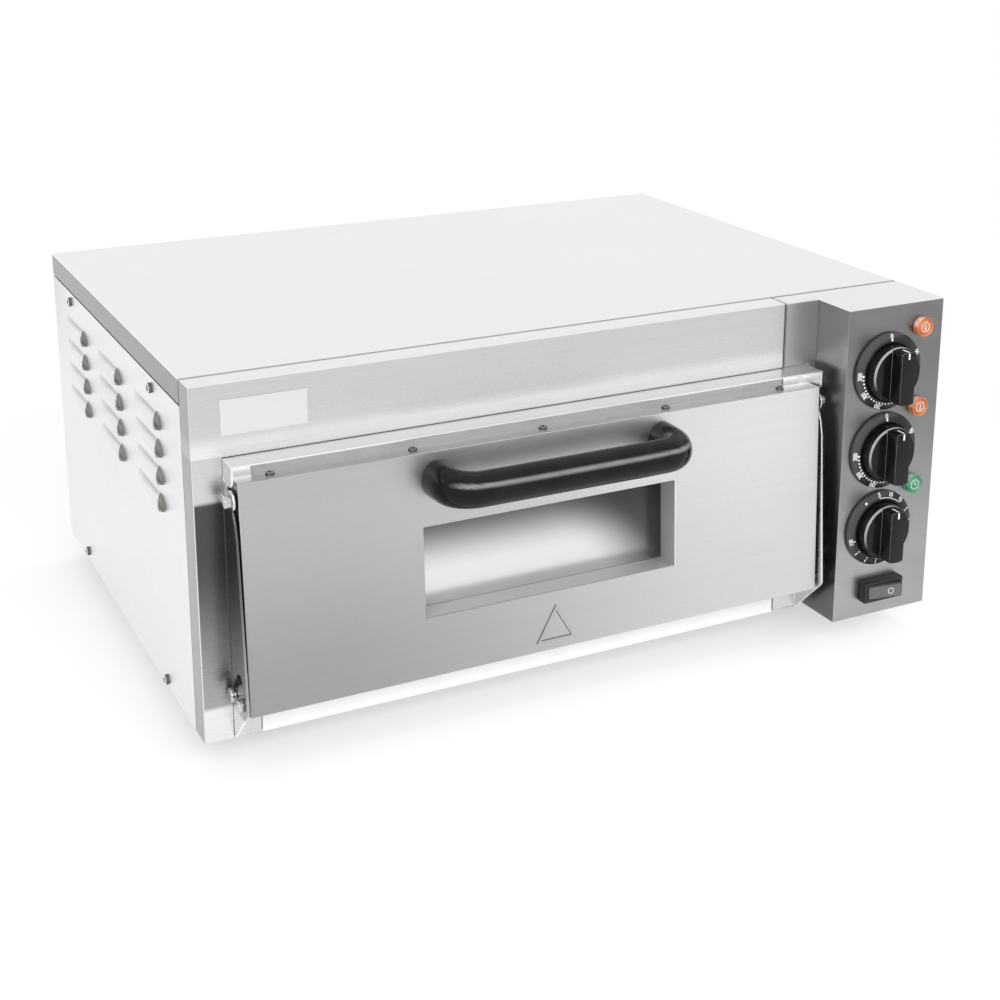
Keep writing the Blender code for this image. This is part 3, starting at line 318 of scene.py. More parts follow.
def mineral_wool(name):
    # painted light: the wool glows faintly where it shows through the louvres
    made = Finish(name, sheen_weight=0.3, sheen_roughness=0.5, emission_strength=0.26)
    fibre = made.noise(1.0, 5.0, 0.7, made.scaled((260.0, 1100.0, 700.0)))
    clump = made.noise(60.0, 4.0, 0.6)
    colour = made.blend(clump, (0.55, 0.50, 0.36, 1), (0.74, 0.70, 0.56, 1))
    colour = made.blend(fibre.over(0.3, 0.7) * 0.4, colour, (0.84, 0.81, 0.70, 1))
    return made.feed(base_color=colour, emission_color=made.blend(clump, grey(0.62), grey(0.80)),
                     roughness=0.90 + fibre * 0.08, normal=made.bump(fibre + clump, 0.6, 0.0012))


def heater_tube(name):
    made = Finish(name, metallic=0.8)
    scale = made.noise(240.0, 4.0, 0.6)
    blueing = made.noise(18.0, 2.0, 0.5)
    colour = made.blend(blueing, (0.20, 0.17, 0.15, 1), (0.16, 0.17, 0.20, 1))
    return made.feed(base_color=made.blend(scale.over(0.4, 0.7) * 0.5, colour, (0.34, 0.29, 0.24, 1)),
                     roughness=0.45 + scale * 0.2, normal=made.bump(scale, 0.2, 0.0002))


def foot_rubber(name):
    made = Finish(name, specular_ior_level=0.35)
    skin = made.noise(1200.0, 2.0, 0.6)
    scuffs = made.noise(90.0, 4.0, 0.65).over(0.52, 0.75)
    return made.feed(base_color=made.blend(scuffs * 0.5, grey(0.018), grey(0.075)),
                     roughness=0.72 + skin * 0.15, normal=made.bump(skin, 0.3, 0.0001))


def porous_ceramic(name, tone):
    made = Finish(name, specular_ior_level=0.4)
    body = made.noise(180.0, 3.0, 0.6)
    return made.feed(base_color=made.blend(body, (tone, tone * 0.97, tone * 0.88, 1),
                                           (tone * 0.9, tone * 0.86, tone * 0.76, 1)),
                     roughness=0.45 + body * 0.25, normal=made.bump(body, 0.2, 0.0002))


# ---- workshop -------------------------------------------------------------------------------


def clear_selection():
    if bpy.context.object and bpy.context.object.mode != "OBJECT":
        bpy.ops.object.mode_set(mode="OBJECT")
    bpy.ops.object.select_all(action="DESELECT")


def take(piece):
    clear_selection()
    piece.select_set(True)
    bpy.context.view_layer.objects.active = piece
    return piece


def started(name):
    """The primitive just added, named."""
    piece = bpy.context.object
    piece.name = name
    piece.data.name = name
    return piece


def settle(piece):
    """Put a piece's place into its mesh."""
    take(piece)
    bpy.ops.object.transform_apply(location=True, rotation=True, scale=True)
    return piece


def drum(name, centre, radius, depth, sides):
    """Round piece lying along Y."""
    clear_selection()
    bpy.ops.mesh.primitive_cylinder_add(vertices=sides, radius=radius, depth=depth, location=centre,
                                        rotation=(math.pi / 2, 0, 0))
    return settle(started(name))


def block(name, low, high):
    clear_selection()
    middle = [(a + b) / 2 for a, b in zip(low, high)]
    bpy.ops.mesh.primitive_cube_add(size=1.0, location=middle)
    piece = started(name)
    piece.scale = [b - a for a, b in zip(low, high)]
    return settle(piece)


def step_front(piece, *steps):
    """Inset the face that looks along -Y, once for each thickness and depth."""
    take(piece)
    bpy.ops.object.mode_set(mode="EDIT")
    bpy.ops.mesh.select_mode(type="FACE")
    bpy.ops.mesh.select_all(action="DESELECT")
    bpy.ops.object.mode_set(mode="OBJECT")
    for face in piece.data.polygons:
        face.select = face.normal.y < -0.9
    bpy.ops.object.mode_set(mode="EDIT")
    for thickness, depth in steps:
        bpy.ops.mesh.inset(thickness=thickness, depth=depth)
    bpy.ops.object.mode_set(mode="OBJECT")


def apply_all(piece):
    take(piece)
    for modifier in list(piece.modifiers):
        bpy.ops.object.modifier_apply(modifier=modifier.name)


def round_edges(piece, width, segments=2, angle=35.0):
    bevel = piece.modifiers.new("rounded edges", "BEVEL")
    bevel.width = width
    bevel.segments = segments
    bevel.limit_method = "ANGLE"
    bevel.angle_limit = math.radians(angle)
    bevel.use_clamp_overlap = True
    apply_all(piece)


def smooth(piece, angle=35.0):
    take(piece)
    bpy.ops.object.shade_smooth_by_angle(angle=math.radians(angle))


def dress(piece, material):
    piece.data.materials.clear()
    piece.data.materials.append(material)


def fit(piece, material, body):
    """Finish a new piece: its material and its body."""
    dress(piece, material)
    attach(piece, body)


def moved_copy(piece, name, matrix):
    made = piece.copy()
    made.data = piece.data.copy()
    made.name = name
    made.data.name = name
    bpy.context.scene.collection.objects.link(made)
    made.data.transform(matrix)
    return made


def refined(node, name):
    """A merged copy of a CAD node to work on."""
    source = frame["nodes"][node]
    made = source.copy()
    made.data = source.data.copy()
    for key in list(made.keys()):
        del made[key]
    made.parent = None
    made.name = name
    made.data.name = name
    bpy.context.scene.collection.objects.link(made)
    take(made)
    bpy.ops.mesh.customdata_custom_splitnormals_clear()
    bpy.ops.object.mode_set(mode="EDIT")
    bpy.ops.mesh.select_all(action="SELECT")
    bpy.ops.mesh.remove_doubles(threshold=0.00001)
    bpy.ops.mesh.dissolve_limited(angle_limit=math.radians(0.5))
    bpy.ops.object.mode_set(mode="OBJECT")
    return made


def ease_node(node, width, crease):
    """Live rounding of a CAD sheet's edges, or creases where it isn't rounded."""
    piece = take(frame["nodes"][node])
    bpy.ops.mesh.customdata_custom_splitnormals_clear()
    piece.data.polygons.foreach_set("use_smooth", [True] * len(piece.data.polygons))
    weld = piece.modifiers.new("joined", "WELD")
    weld.merge_threshold = 0.00001
    if width:
        bevel = piece.modifiers.new("folds", "BEVEL")
        bevel.width = width
        bevel.segments = 2
        bevel.limit_method = "ANGLE"
        bevel.angle_limit = math.radians(40.0)
        bevel.use_clamp_overlap = False
        normals = piece.modifiers.new("flats", "WEIGHTED_NORMAL")
        normals.mode = "FACE_AREA"
        normals.weight = 80
        normals.keep_sharp = False
    else:
        split = piece.modifiers.new("creases", "EDGE_SPLIT")
        split.split_angle = math.radians(crease)


# ---- turned and moulded pieces refined from the CAD -----------------------------------------


def finer(node, name, width, segments, material, body):
    """A CAD piece again, with its edges rounded, in its place."""
    piece = refined(node, name)
    round_edges(piece, width, segments)
    smooth(piece)
    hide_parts(node)
    fit(piece, material, body)


def bow_handle(material):
    """The handle's rings subdivided, its two feet kept flat on the door."""
    piece = refined("handle", "bow_handle")
    to_door = DOOR_TURN.inverted()
    on_foot = {vertex.index for vertex in piece.data.vertices
               if (to_door @ vertex.co).y > DOOR_FACE - 0.0010}
    creases = piece.data.attributes.new("crease_edge", "FLOAT", "EDGE")
    for edge in piece.data.edges:
        if edge.vertices[0] in on_foot and edge.vertices[1] in on_foot:
            creases.data[edge.index].value = 1.0
    levels = piece.modifiers.new("rounder", "SUBSURF")
    levels.levels = 2
    levels.render_levels = 2
    apply_all(piece)
    smooth(piece, 50.0)
    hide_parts("handle")
    fit(piece, material, "door")


# ---- dials, pointers and prints -------------------------------------------------------------


RING_OUT = 0.0283
RING_RUN = 0.0048
RING_RISE = 0.0012
RING_EDGE = 0.0032
RING_SLOPE = math.radians(14.0)
PRINT_PROUD = 0.00006
NUMBER_RADIUS = 0.0268
DOT_RADIUS = 0.0243


def on_dial(centre, angle, radius):
    """Matrix from a print's flat, +Y away from the dial's centre, to its place on the sloping ring."""
    turn = math.radians(angle)
    height = RING_EDGE + (RING_OUT - radius) / RING_RUN * RING_RISE + PRINT_PROUD
    place = centre + Vector((radius * math.sin(turn), -height, radius * math.cos(turn)))
    face = Matrix.Rotation(turn, 4, "Y") @ Matrix.Rotation(math.pi / 2 - RING_SLOPE, 4, "X")
    return Matrix.Translation(place) @ face


def lettering(name, words, size, matrix):
    clear_selection()
    bpy.ops.object.text_add()
    piece = started(name)
    piece.data.body = words
    piece.data.align_x = "CENTER"
    piece.data.align_y = "CENTER"
    piece.data.size = size
    piece.data.offset = size * 0.022
    piece.data.space_character = 0.86
    piece.data.extrude = 0.00002
    take(piece)
    bpy.ops.object.convert(target="MESH")
    piece = bpy.context.object
    piece.data.transform(matrix)
    return piece


def joined(name, pieces):
    clear_selection()
    for piece in pieces:
        piece.select_set(True)
    bpy.context.view_layer.objects.active = pieces[0]
    bpy.ops.object.join()
    return started(name)


def spot(name, matrix, radius):
    clear_selection()
    bpy.ops.mesh.primitive_cylinder_add(vertices=12, radius=radius, depth=PRINT_PROUD)
    piece = started(name)
    piece.data.transform(matrix)
    return piece


def bar_mark(name, matrix, wide, tall):
    clear_selection()
    bpy.ops.mesh.primitive_cube_add(size=1.0)
    piece = started(name)
    piece.data.transform(matrix @ Matrix.Diagonal((wide, tall, PRINT_PROUD, 1.0)))
    return piece


def arc_mark(name, centre, start, end, radius, wide):
    """Curved line printed on the ring."""
    pieces = []
    steps = 14
    step = (end - start) / steps
    length = math.radians(step) * radius * 1.15
    for index in range(steps):
        angle = start + (index + 0.5) * step
        pieces.append(bar_mark(f"{name}_{index}", on_dial(centre, angle, radius), length, wide))
    return pieces


SCALE_LOW = 50
SCALE_HIGH = 350
SCALE_START = 63.0
SCALE_STEP = 0.687


def thermostat_scale(label, ink):
    """Zero, then a dot for every ten degrees and numbers where the knob leaves them in sight."""
    centre = DIALS[label]
    marks = [lettering("zero", "0", 0.0050, on_dial(centre, 0.0, NUMBER_RADIUS)),
             spot("zero_dot", on_dial(centre, 0.0, DOT_RADIUS), 0.00095)]
    for value in range(SCALE_LOW, SCALE_HIGH + 1, 10):
        angle = SCALE_START + (value - SCALE_LOW) * SCALE_STEP
        dot = 0.00075 if value % 50 else 0.00095
        marks.append(spot(f"d{value}", on_dial(centre, angle, DOT_RADIUS), dot))
        if value in (50, 250, 300, 350):
            marks.append(lettering(f"n{value}", str(value), 0.0046, on_dial(centre, angle, NUMBER_RADIUS)))
    fit(joined(f"{label}_dial_scale", marks), ink, "cabinet")


def timer_scale(ink):
    """A few minutes joined by a line, plain strokes beyond, and a square at the hold position."""
    centre = DIALS["timer"]
    first, last = -5.0, 255.0
    marks = [lettering("t5", "5", 0.0050, on_dial(centre, first, NUMBER_RADIUS)),
             lettering("t10", "10", 0.0046, on_dial(centre, 18.0, NUMBER_RADIUS)),
             lettering("t15", "15", 0.0046, on_dial(centre, 41.0, NUMBER_RADIUS)),
             lettering("t120", "120", 0.0042, on_dial(centre, last, NUMBER_RADIUS)),
             spot("d120", on_dial(centre, last, DOT_RADIUS), 0.0006),
             bar_mark("off", on_dial(centre, -33.0, 0.0262), 0.0018, 0.0018)]
    marks += arc_mark("line", centre, first, 41.0, DOT_RADIUS, 0.0005)
    for angle in (64.0, 85.0, 104.0, 130.0, 185.0, 207.0, 231.0):
        marks.append(bar_mark(f"b{angle:.0f}", on_dial(centre, angle, NUMBER_RADIUS), 0.0008, 0.0024))
        marks.append(spot(f"s{angle:.0f}", on_dial(centre, angle, DOT_RADIUS), 0.0006))
    fit(joined("timer_dial_scale", marks), ink, "cabinet")


def pointer(label, body, ink):
    """White line let into the top of a knob's grip bar, carried round the edge onto its end."""
    centre = DIALS[label]
    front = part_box(f"{label}_knob")[0].y
    reach = centre.z + 0.02018
    piece = block(f"{label}_knob_pointer", (centre.x - 0.0007, front - 0.00008, centre.z + 0.0148),
                  (centre.x + 0.0007, front + 0.0075, reach))
    take(piece)
    bpy.ops.object.mode_set(mode="EDIT")
    bpy.ops.mesh.select_mode(type="EDGE")
    bpy.ops.mesh.select_all(action="DESELECT")
    bpy.ops.object.mode_set(mode="OBJECT")
    for edge in piece.data.edges:
        ends = [piece.data.vertices[index].co for index in edge.vertices]
        edge.select = all(end.y < front and abs(end.z - reach) < 0.0001 for end in ends)
    bpy.ops.object.mode_set(mode="EDIT")
    bpy.ops.mesh.bevel(offset=0.0012, segments=4, affect="EDGES")
    bpy.ops.object.mode_set(mode="OBJECT")
    smooth(piece, 40.0)
    fit(piece, ink, body)


# ---- lamps ----------------------------------------------------------------------------------


def lamp_lens(node, name, material):
    """Stepped lens: a rim, a groove and a raised round face."""
    low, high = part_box(node)
    x, z = (low.x + high.x) / 2, (low.z + high.z) / 2
    proud = low.y
    radius = (high.x - low.x) / 2
    piece = drum(name, (x, (proud + PANEL_Y) / 2 - 0.00015, z), radius, PANEL_Y - proud - 0.0003, 36)
    step_front(piece, (0.0007, 0.0), (0.0006, -0.0009), (0.0003, 0.0), (0.0005, 0.0007))
    round_edges(piece, 0.0003, 2)
    smooth(piece)
    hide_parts(node)
    fit(piece, material, "cabinet")
    return Vector((x, proud, z))


def ring_sign(name, centre, radius, wide):
    clear_selection()
    bpy.ops.mesh.primitive_torus_add(location=centre, rotation=(math.pi / 2, 0, 0), major_radius=radius,
                                     minor_radius=wide / 2, major_segments=36, minor_segments=8)
    return settle(started(name))


def lamp_sign(label, centre, ink):
    """Ring with a clock's hands on the timer's lamp, with a thermometer on the others."""
    face = centre + Vector((0.0, 0.00018, 0.0))
    ring = ring_sign(f"{label}_ring", face, 0.0036, 0.0005)
    if label == "timer":
        marks = [block("hand_up", face + Vector((-0.0002, -0.0001, 0.0)),
                       face + Vector((0.0002, 0.0002, 0.0024))),
                 block("hand_side", face + Vector((0.0, -0.0001, -0.0002)),
                       face + Vector((0.0019, 0.0002, 0.0002)))]
    else:
        marks = [block("stem", face + Vector((-0.0003, -0.0001, -0.0008)),
                       face + Vector((0.0003, 0.0002, 0.0023))),
                 drum("bulb", face + Vector((0.0, 0.00005, -0.0014)), 0.0008, 0.0003, 14)]
    fit(joined(f"{label}_lamp_sign", [ring, *marks]), ink, "cabinet")


def rocker_sign(ink):
    """Ring printed on the rocker's right half, flat on its sloping face."""
    low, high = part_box("rocker")
    x, z = low.x + (high.x - low.x) * 0.66, (low.z + high.z) / 2
    faces = [face for face in frame["nodes"]["rocker"].data.polygons
             if face.normal.y < -0.9 and face.center.x > (low.x + high.x) / 2]
    face = max(faces, key=lambda each: each.area)
    normal, middle = face.normal.copy(), face.center
    y = middle.y - (normal.x * (x - middle.x) + normal.z * (z - middle.z)) / normal.y
    turn = Vector((0.0, -1.0, 0.0)).rotation_difference(normal).to_matrix().to_4x4()
    ring = ring_sign("switch_on_sign", Vector((0.0, -0.00002, 0.0)), 0.0022, 0.0005)
    ring.data.transform(Matrix.Translation((x, y, z)) @ turn)
    fit(ring, ink, "switch")


# ---- screws, badge and stamped plate --------------------------------------------------------


def cross_head(name, radius, height):
    """Pan-head screw looking along -Y, its seat on the plane y = 0."""
    piece = drum(name, (0.0, -height / 2, 0.0), radius, height, 28)
    step_front(piece, (radius * 0.30, height * 0.18), (radius * 0.25, height * 0.06))
    for tag, wide, tall in (("a", 0.20, 0.62), ("b", 0.62, 0.20)):
        tool = block(f"{name}_{tag}", (-radius * wide, -height * 1.6, -radius * tall),
                     (radius * wide, -height * 0.55, radius * tall))
        cut = piece.modifiers.new("recess", "BOOLEAN")
        cut.operation = "DIFFERENCE"
        cut.object = tool
        cut.solver = "EXACT"
        apply_all(piece)
        bpy.data.objects.remove(tool)
    round_edges(piece, radius * 0.12, 2, 30.0)
    smooth(piece, 40.0)
    return piece


FACING = {"-x": Matrix.Rotation(-math.pi / 2, 4, "Z"), "x": Matrix.Rotation(math.pi / 2, 4, "Z"),
          "y": Matrix.Rotation(math.pi, 4, "Z"), "z": Matrix.Rotation(-math.pi / 2, 4, "X")}
SIDE_SCREWS = ((0.0900, 0.2173, 20), (0.3316, 0.2175, 65), (0.0884, 0.0052, 40), (0.3260, 0.0083, 5))
DOOR_SCREWS_X = (-0.2325, -0.1350, -0.0390, 0.0580, 0.1550)
DOOR_FOLD_DEPTH = 0.0100
DOOR_FOLD_TOP = 0.1489


def set_screws(head, places, material, body):
    for index, (label, place, facing, turn) in enumerate(places):
        matrix = Matrix.Translation(place) @ facing @ Matrix.Rotation(math.radians(turn), 4, "Y")
        fit(moved_copy(head, f"{label}_screw_{index + 1}", matrix), material, body)


def casing_screws(side_material, back_material):
    head = cross_head("screw_pattern", 0.0036, 0.0021)
    places = []
    for y, z, turn in SIDE_SCREWS:
        places.append(("side", Vector((LEFT_X, FRONT_Y + y, BASE_Z + z)), FACING["-x"], turn))
        places.append(("side", Vector((RIGHT_X, FRONT_Y + y, BASE_Z + z)), FACING["x"], turn + 30))
    set_screws(head, places, side_material, "cabinet")
    low, middle, high = 0.010, 0.110, 0.214
    spots = [(x, z, 50 * z + 15) for x in (-0.262, 0.262) for z in (low, middle, high)]
    places = []
    for x, z, turn in (*spots, (0.0, low, 33), (0.0, high, 77)):
        places.append(("back", Vector((x, BACK_Y, BASE_Z + z)), FACING["y"], turn))
    set_screws(head, places, back_material, "cabinet")
    bpy.data.objects.remove(head)


def door_screws(material):
    head = cross_head("door_screw_pattern", 0.0030, 0.0014)
    facing = DOOR_TURN.to_3x3().to_4x4() @ FACING["z"]
    places = []
    for index, x in enumerate(DOOR_SCREWS_X):
        place = DOOR_TURN @ Vector((x - DOOR_PIVOT.x, DOOR_FACE + DOOR_FOLD_DEPTH, DOOR_FOLD_TOP))
        places.append(("door", place, facing, 25 + 37 * index))
    set_screws(head, places, material, "door")
    bpy.data.objects.remove(head)


def dome_heads(material):
    """Bright domed bolt through the top of each cheek."""
    for side, x, facing in (("left", CHEEK_X, FACING["-x"]), ("right", CHEEK_RIGHT_X, FACING["x"])):
        head = drum(f"cheek_bolt_{side}", (0.0, -0.0020, 0.0), 0.0046, 0.0040, 28)
        step_front(head, (0.0012, 0.0009), (0.0016, 0.0004))
        round_edges(head, 0.0005, 3)
        head.data.transform(Matrix.Translation((x, FRONT_Y - 0.0135, BASE_Z + 0.1705)) @ facing)
        smooth(head, 50.0)
        fit(head, material, "cabinet")


def badge(material):
    """Bare plate on the front, in one pale colour."""
    low = (LEFT_X + 0.0198, FRONT_Y - 0.0006, BASE_Z + 0.2090)
    high = (LEFT_X + 0.0772, FRONT_Y - 0.00002, BASE_Z + 0.2325)
    piece = block("badge_plate", low, high)
    step_front(piece, (0.0006, 0.0001))
    round_edges(piece, 0.00018, 2)
    smooth(piece)
    fit(piece, material, "cabinet")


def stamped_triangle(material):
    """Plain triangular outline pressed up out of the door sheet."""
    clear_selection()
    bpy.ops.mesh.primitive_cylinder_add(vertices=3, radius=0.0176, depth=0.0010)
    piece = started("stamped_triangle")
    piece.data.transform(Matrix.Rotation(math.pi / 2, 4, "X"))
    if min(vertex.co.z for vertex in piece.data.vertices) < -0.012:
        piece.data.transform(Matrix.Rotation(math.pi, 4, "Y"))
    step_front(piece, (0.0005, 0.0), (0.0013, 0.0), (0.0005, -0.0009))
    round_edges(piece, 0.00030, 3, 20.0)
    centre = Vector((0.0004, DOOR_FACE - 0.0003, 0.0068))
    piece.data.transform(DOOR_TURN @ Matrix.Translation(centre))
    smooth(piece, 30.0)
    fit(piece, material, "door")


# ---- dressing the CAD's own pieces ----------------------------------------------------------


SOFT_CREASE = 16.0
CREASE = 35.0
# finish, rounding of the folds, angle that counts as a crease, and the pieces that wear it
WORN = (
    ("casing", 0.0007, CREASE, ("front_frame",)),
    ("bracket", 0.0004, CREASE, ("hinge_bracket_left", "hinge_bracket_right")),
    ("mouth", 0.0003, CREASE, ("mouth_frame",)),
    ("hood", 0.0004, CREASE, ("hood",)),
    ("side", 0.0, SOFT_CREASE, ("left_side_panel", "right_side_panel")),
    ("back", 0.0003, CREASE, ("back_panel",)),
    ("top", 0.0007, CREASE, ("top_cover",)),
    ("column", 0.0007, CREASE, ("control_housing",)),
    ("door", 0.0006, CREASE, ("door_outer_skin",)),
    ("tunnel", 0.0, CREASE, ("window_tunnel",)),
    ("pane", 0.0, CREASE, ("door_glass",)),
    ("zinc", 0.0004, CREASE, ("base_pan",)),
    ("zinc", 0.0, CREASE, ("control_partition", "glass_retainer")),
    ("inner", 0.0004, CREASE, ("door_inner_pan",)),
    ("inner", 0.0, CREASE, ("chamber_liner",)),
    ("plain", 0.0, CREASE, ("stone_rail_left", "stone_rail_right")),
    ("plain", 0.0003, CREASE, ("door_hinge_plate_left", "door_hinge_plate_right")),
    ("heater", 0.0, CREASE, ("lower_element", "upper_element")),
    ("bright", 0.0, CREASE, ("lower_sensing_bulb", "upper_sensing_bulb")),
    ("bright", 0.0, CREASE, ("upper_shaft", "lower_shaft", "timer_shaft")),
    ("stone", 0.0012, CREASE, ("baking_stone",)),
    ("wool", 0.0, CREASE, ("insulation_wrap", "insulation_back", "door_insulation")),
    ("regulator", 0.0, CREASE, ("upper_thermostat", "lower_thermostat", "timer")),
    ("ceramic", 0.0, CREASE, ("terminal_block",)),
)


def dress_nodes(looks):
    for look, width, crease, nodes in WORN:
        for node in nodes:
            ease_node(node, width, crease)
            dress(frame["nodes"][node], looks[look])


def side_shade(made):
    """Panels a little darker towards the back's upper corner and on the right; painted shade along each
    louvre's upper fold, on its body and underside, and on faces that look forwards.
    """
    x, y, z = made.parts()
    up = made.facing()[2]
    front = 0.0 - made.facing()[1]
    proud = made.size_of(x) - SIDE_X
    raised = proud.over(0.0001, 0.0008)
    # painted shade: a dark line along each louvre's upper fold, its body and underside a little darker
    line = raised * (1.0 - proud.over(0.0012, 0.0026)) * up.over(0.05, 0.45)
    underside_shade = raised * (0.0 - up).over(0.10, 0.60)
    # painted shade on the faces that look forwards, round the louvres' mouths
    front_facing_shade = front.over(0.55, 0.85)
    corner = y.over(0.14, 0.23) * z.over(0.16, 0.25) * 0.16
    level = 1.0 - corner - x.over(-0.1, 0.1) * 0.22
    level = level * (1.0 - line * 0.34) * (1.0 - raised * 0.05 - underside_shade * 0.12)
    return level * (1.0 - front_facing_shade * 0.62)


def flat_top(z):
    """1 on the oven's flat top, 0 on what stands upright."""
    return z.over(TOP_Z - 0.0012, TOP_Z - 0.0002)


def lid_seam(y):
    """1 along the back edge of the strip that meets the lid."""
    return y.over(LID_Y - 0.0026, LID_Y - 0.0016)


def lid_shade(made):
    """Painted shade: the folded lips darker than the flat top, and a dark line along the front seam."""
    _, y, z = made.parts()
    seam = 1.0 - y.over(LID_Y + 0.0006, LID_Y + 0.0014)
    # painted shade on the folded lips and in the front seam
    return (0.36 + flat_top(z) * 0.64) * (1.0 - seam * 0.65)


# heights of the painted dark reflection on the strip beside the door
DARK_REFLECTION_LOW = BASE_Z + 0.0220
DARK_REFLECTION_HIGH = BASE_Z + 0.1640


def casing_shade(made):
    """Painted reflection: dark down the strip beside the door, lighter again towards the base. Painted light
    on faces that look up and at the fascia's foot; painted shade on the left return and in the seams at lid
    and column; slightly darker high up.
    """
    x, y, z = made.parts()
    left = (0.0 - made.facing()[0]).over(0.6, 0.9)
    up = made.facing()[2].over(0.70, 0.95)
    # painted shade on the left-facing return near the corner
    edge = 1.0 - x.over(LEFT_X + 0.0010, LEFT_X + 0.0030)
    # painted reflection: dark down the strip beside the door, light again at its foot
    strip = x.within(LEFT_X + 0.0004, LEFT_X + 0.0012, LEFT_X + 0.0185, LEFT_X + 0.0300)
    dark_reflection = z.within(DARK_REFLECTION_LOW, DARK_REFLECTION_LOW + 0.0040, DARK_REFLECTION_HIGH, DARK_REFLECTION_HIGH + 0.0035)
    deep = 0.42 + z.over(BASE_Z + 0.0200, BASE_Z + 0.1300) * 0.45
    band = z.over(BASE_Z + 0.188, BASE_Z + 0.232)
    painted_reflection_light = strip * (1.0 - z.over(DARK_REFLECTION_LOW, DARK_REFLECTION_LOW + 0.0040)) * 0.25
    # painted light on a band at the fascia's foot
    foot = z.within(BASE_Z + 0.1950, BASE_Z + 0.1962, BASE_Z + 0.2000, BASE_Z + 0.2120)
    # painted shade in the seam beside the column
    joint = x.within(COLUMN_X - 0.0018, COLUMN_X - 0.0010, COLUMN_X, COLUMN_X + 0.0004)
    # painted light on faces that look up; painted shade on the left return and in the seams at lid and column
    level = (1.0 - strip * dark_reflection * deep) * (1.06 - band * 0.06) + painted_reflection_light + foot * 0.32 + up * 0.32
    return level * (1.0 - left * edge * 0.45) * (1.0 - up * lid_seam(y) * 0.65) * (1.0 - joint * 0.65)


def notch_glow(made):
    """Painted glow on the cheeks, standing in for light that the hood's open ends let in."""
    z = made.parts()[2]
    front = (0.0 - made.facing()[1]).over(0.70, 0.95)
    return front * z.within(HOOD_Z - 0.0005, HOOD_Z, HOOD_Z + 0.0080, HOOD_Z + 0.0090)


def door_shade(made):
    """Darker low down on the left, lighter to the right and higher up; painted light on the top face and
    behind the grip.
    """
    x, _, z = made.parts()
    top = made.facing()[2].over(0.70, 0.95)
    behind_grip = z.over(0.168, 0.186) * x.within(-0.135, -0.090, 0.020, 0.060)
    # painted light on the top face and on the sheet behind the grip
    return 0.69 + x.over(-0.22, 0.17) * 0.57 + z.over(0.06, 0.20) * 0.28 + top * 0.8 + behind_grip * 0.42


def stamped_shade(made):
    """Painted shade on the flanks of the pressing."""
    front = 0.0 - made.facing()[1]
    return door_shade(made) * (0.35 + front.over(0.80, 0.985) * 0.65)


def column_shade(made):
    """Painted light on the flat top and the flush strip; painted shade deepening down the box's left side and
    in its seams; the box's front darker higher up.
    """
    x, y, z = made.parts()
    left = (0.0 - made.facing()[0]).over(0.6, 0.9)
    flat = flat_top(z)
    strip = 1.0 - x.over(BOX_LEFT_X - 0.0012, BOX_LEFT_X - 0.0004)
    joint = 1.0 - x.over(COLUMN_X + 0.0004, COLUMN_X + 0.0012)
    cloud = made.noise(22.0, 2.0, 0.5)
    front = 0.68 - z.over(0.03, 0.26) * 0.27 - x.over(0.20, 0.28) * 0.04 + (cloud - 0.5) * 0.22
    # painted shade deepening down the box's left side
    side = 0.28 + z.over(0.10, 0.26) * 0.37
    # painted light on the flush strip
    upright = front + left * (side - front) + strip * 0.50
    # painted light on the flat top
    level = upright * (1.0 - flat) + flat * 1.46
    # painted shade in the seams at the column and the lid
    return level * (1.0 - joint * 0.75) * (1.0 - flat * lid_seam(y) * 0.75)


def ring_sheen(made):
    """Satin ring catching light on its upper left."""
    x, _, z = made.facing()
    grain = made.noise(1500.0, 2.0, 0.5)
    return (z * 0.6 - x * 0.8).over(0.04, 0.25) * (0.22 + grain * 0.4)


def rim_sheen(made):
    """Painted highlight on a knob's arrises, up and to the left."""
    x, y, z = made.facing()
    return made.size_of(y).within(0.20, 0.55, 0.80, 0.96) * (z - x).over(0.20, 0.9)


def grip_sheen(made):
    """Painted highlight in a band along the grip's upper front, broken up by noise."""
    _, y, z = made.facing()
    wear_and_sheen_noise = made.noise(90.0, 3.0, 0.6)
    return z.within(0.26, 0.46, 0.50, 0.66) * (0.0 - y).over(0.45, 0.75) * (0.55 + wear_and_sheen_noise * 0.5)


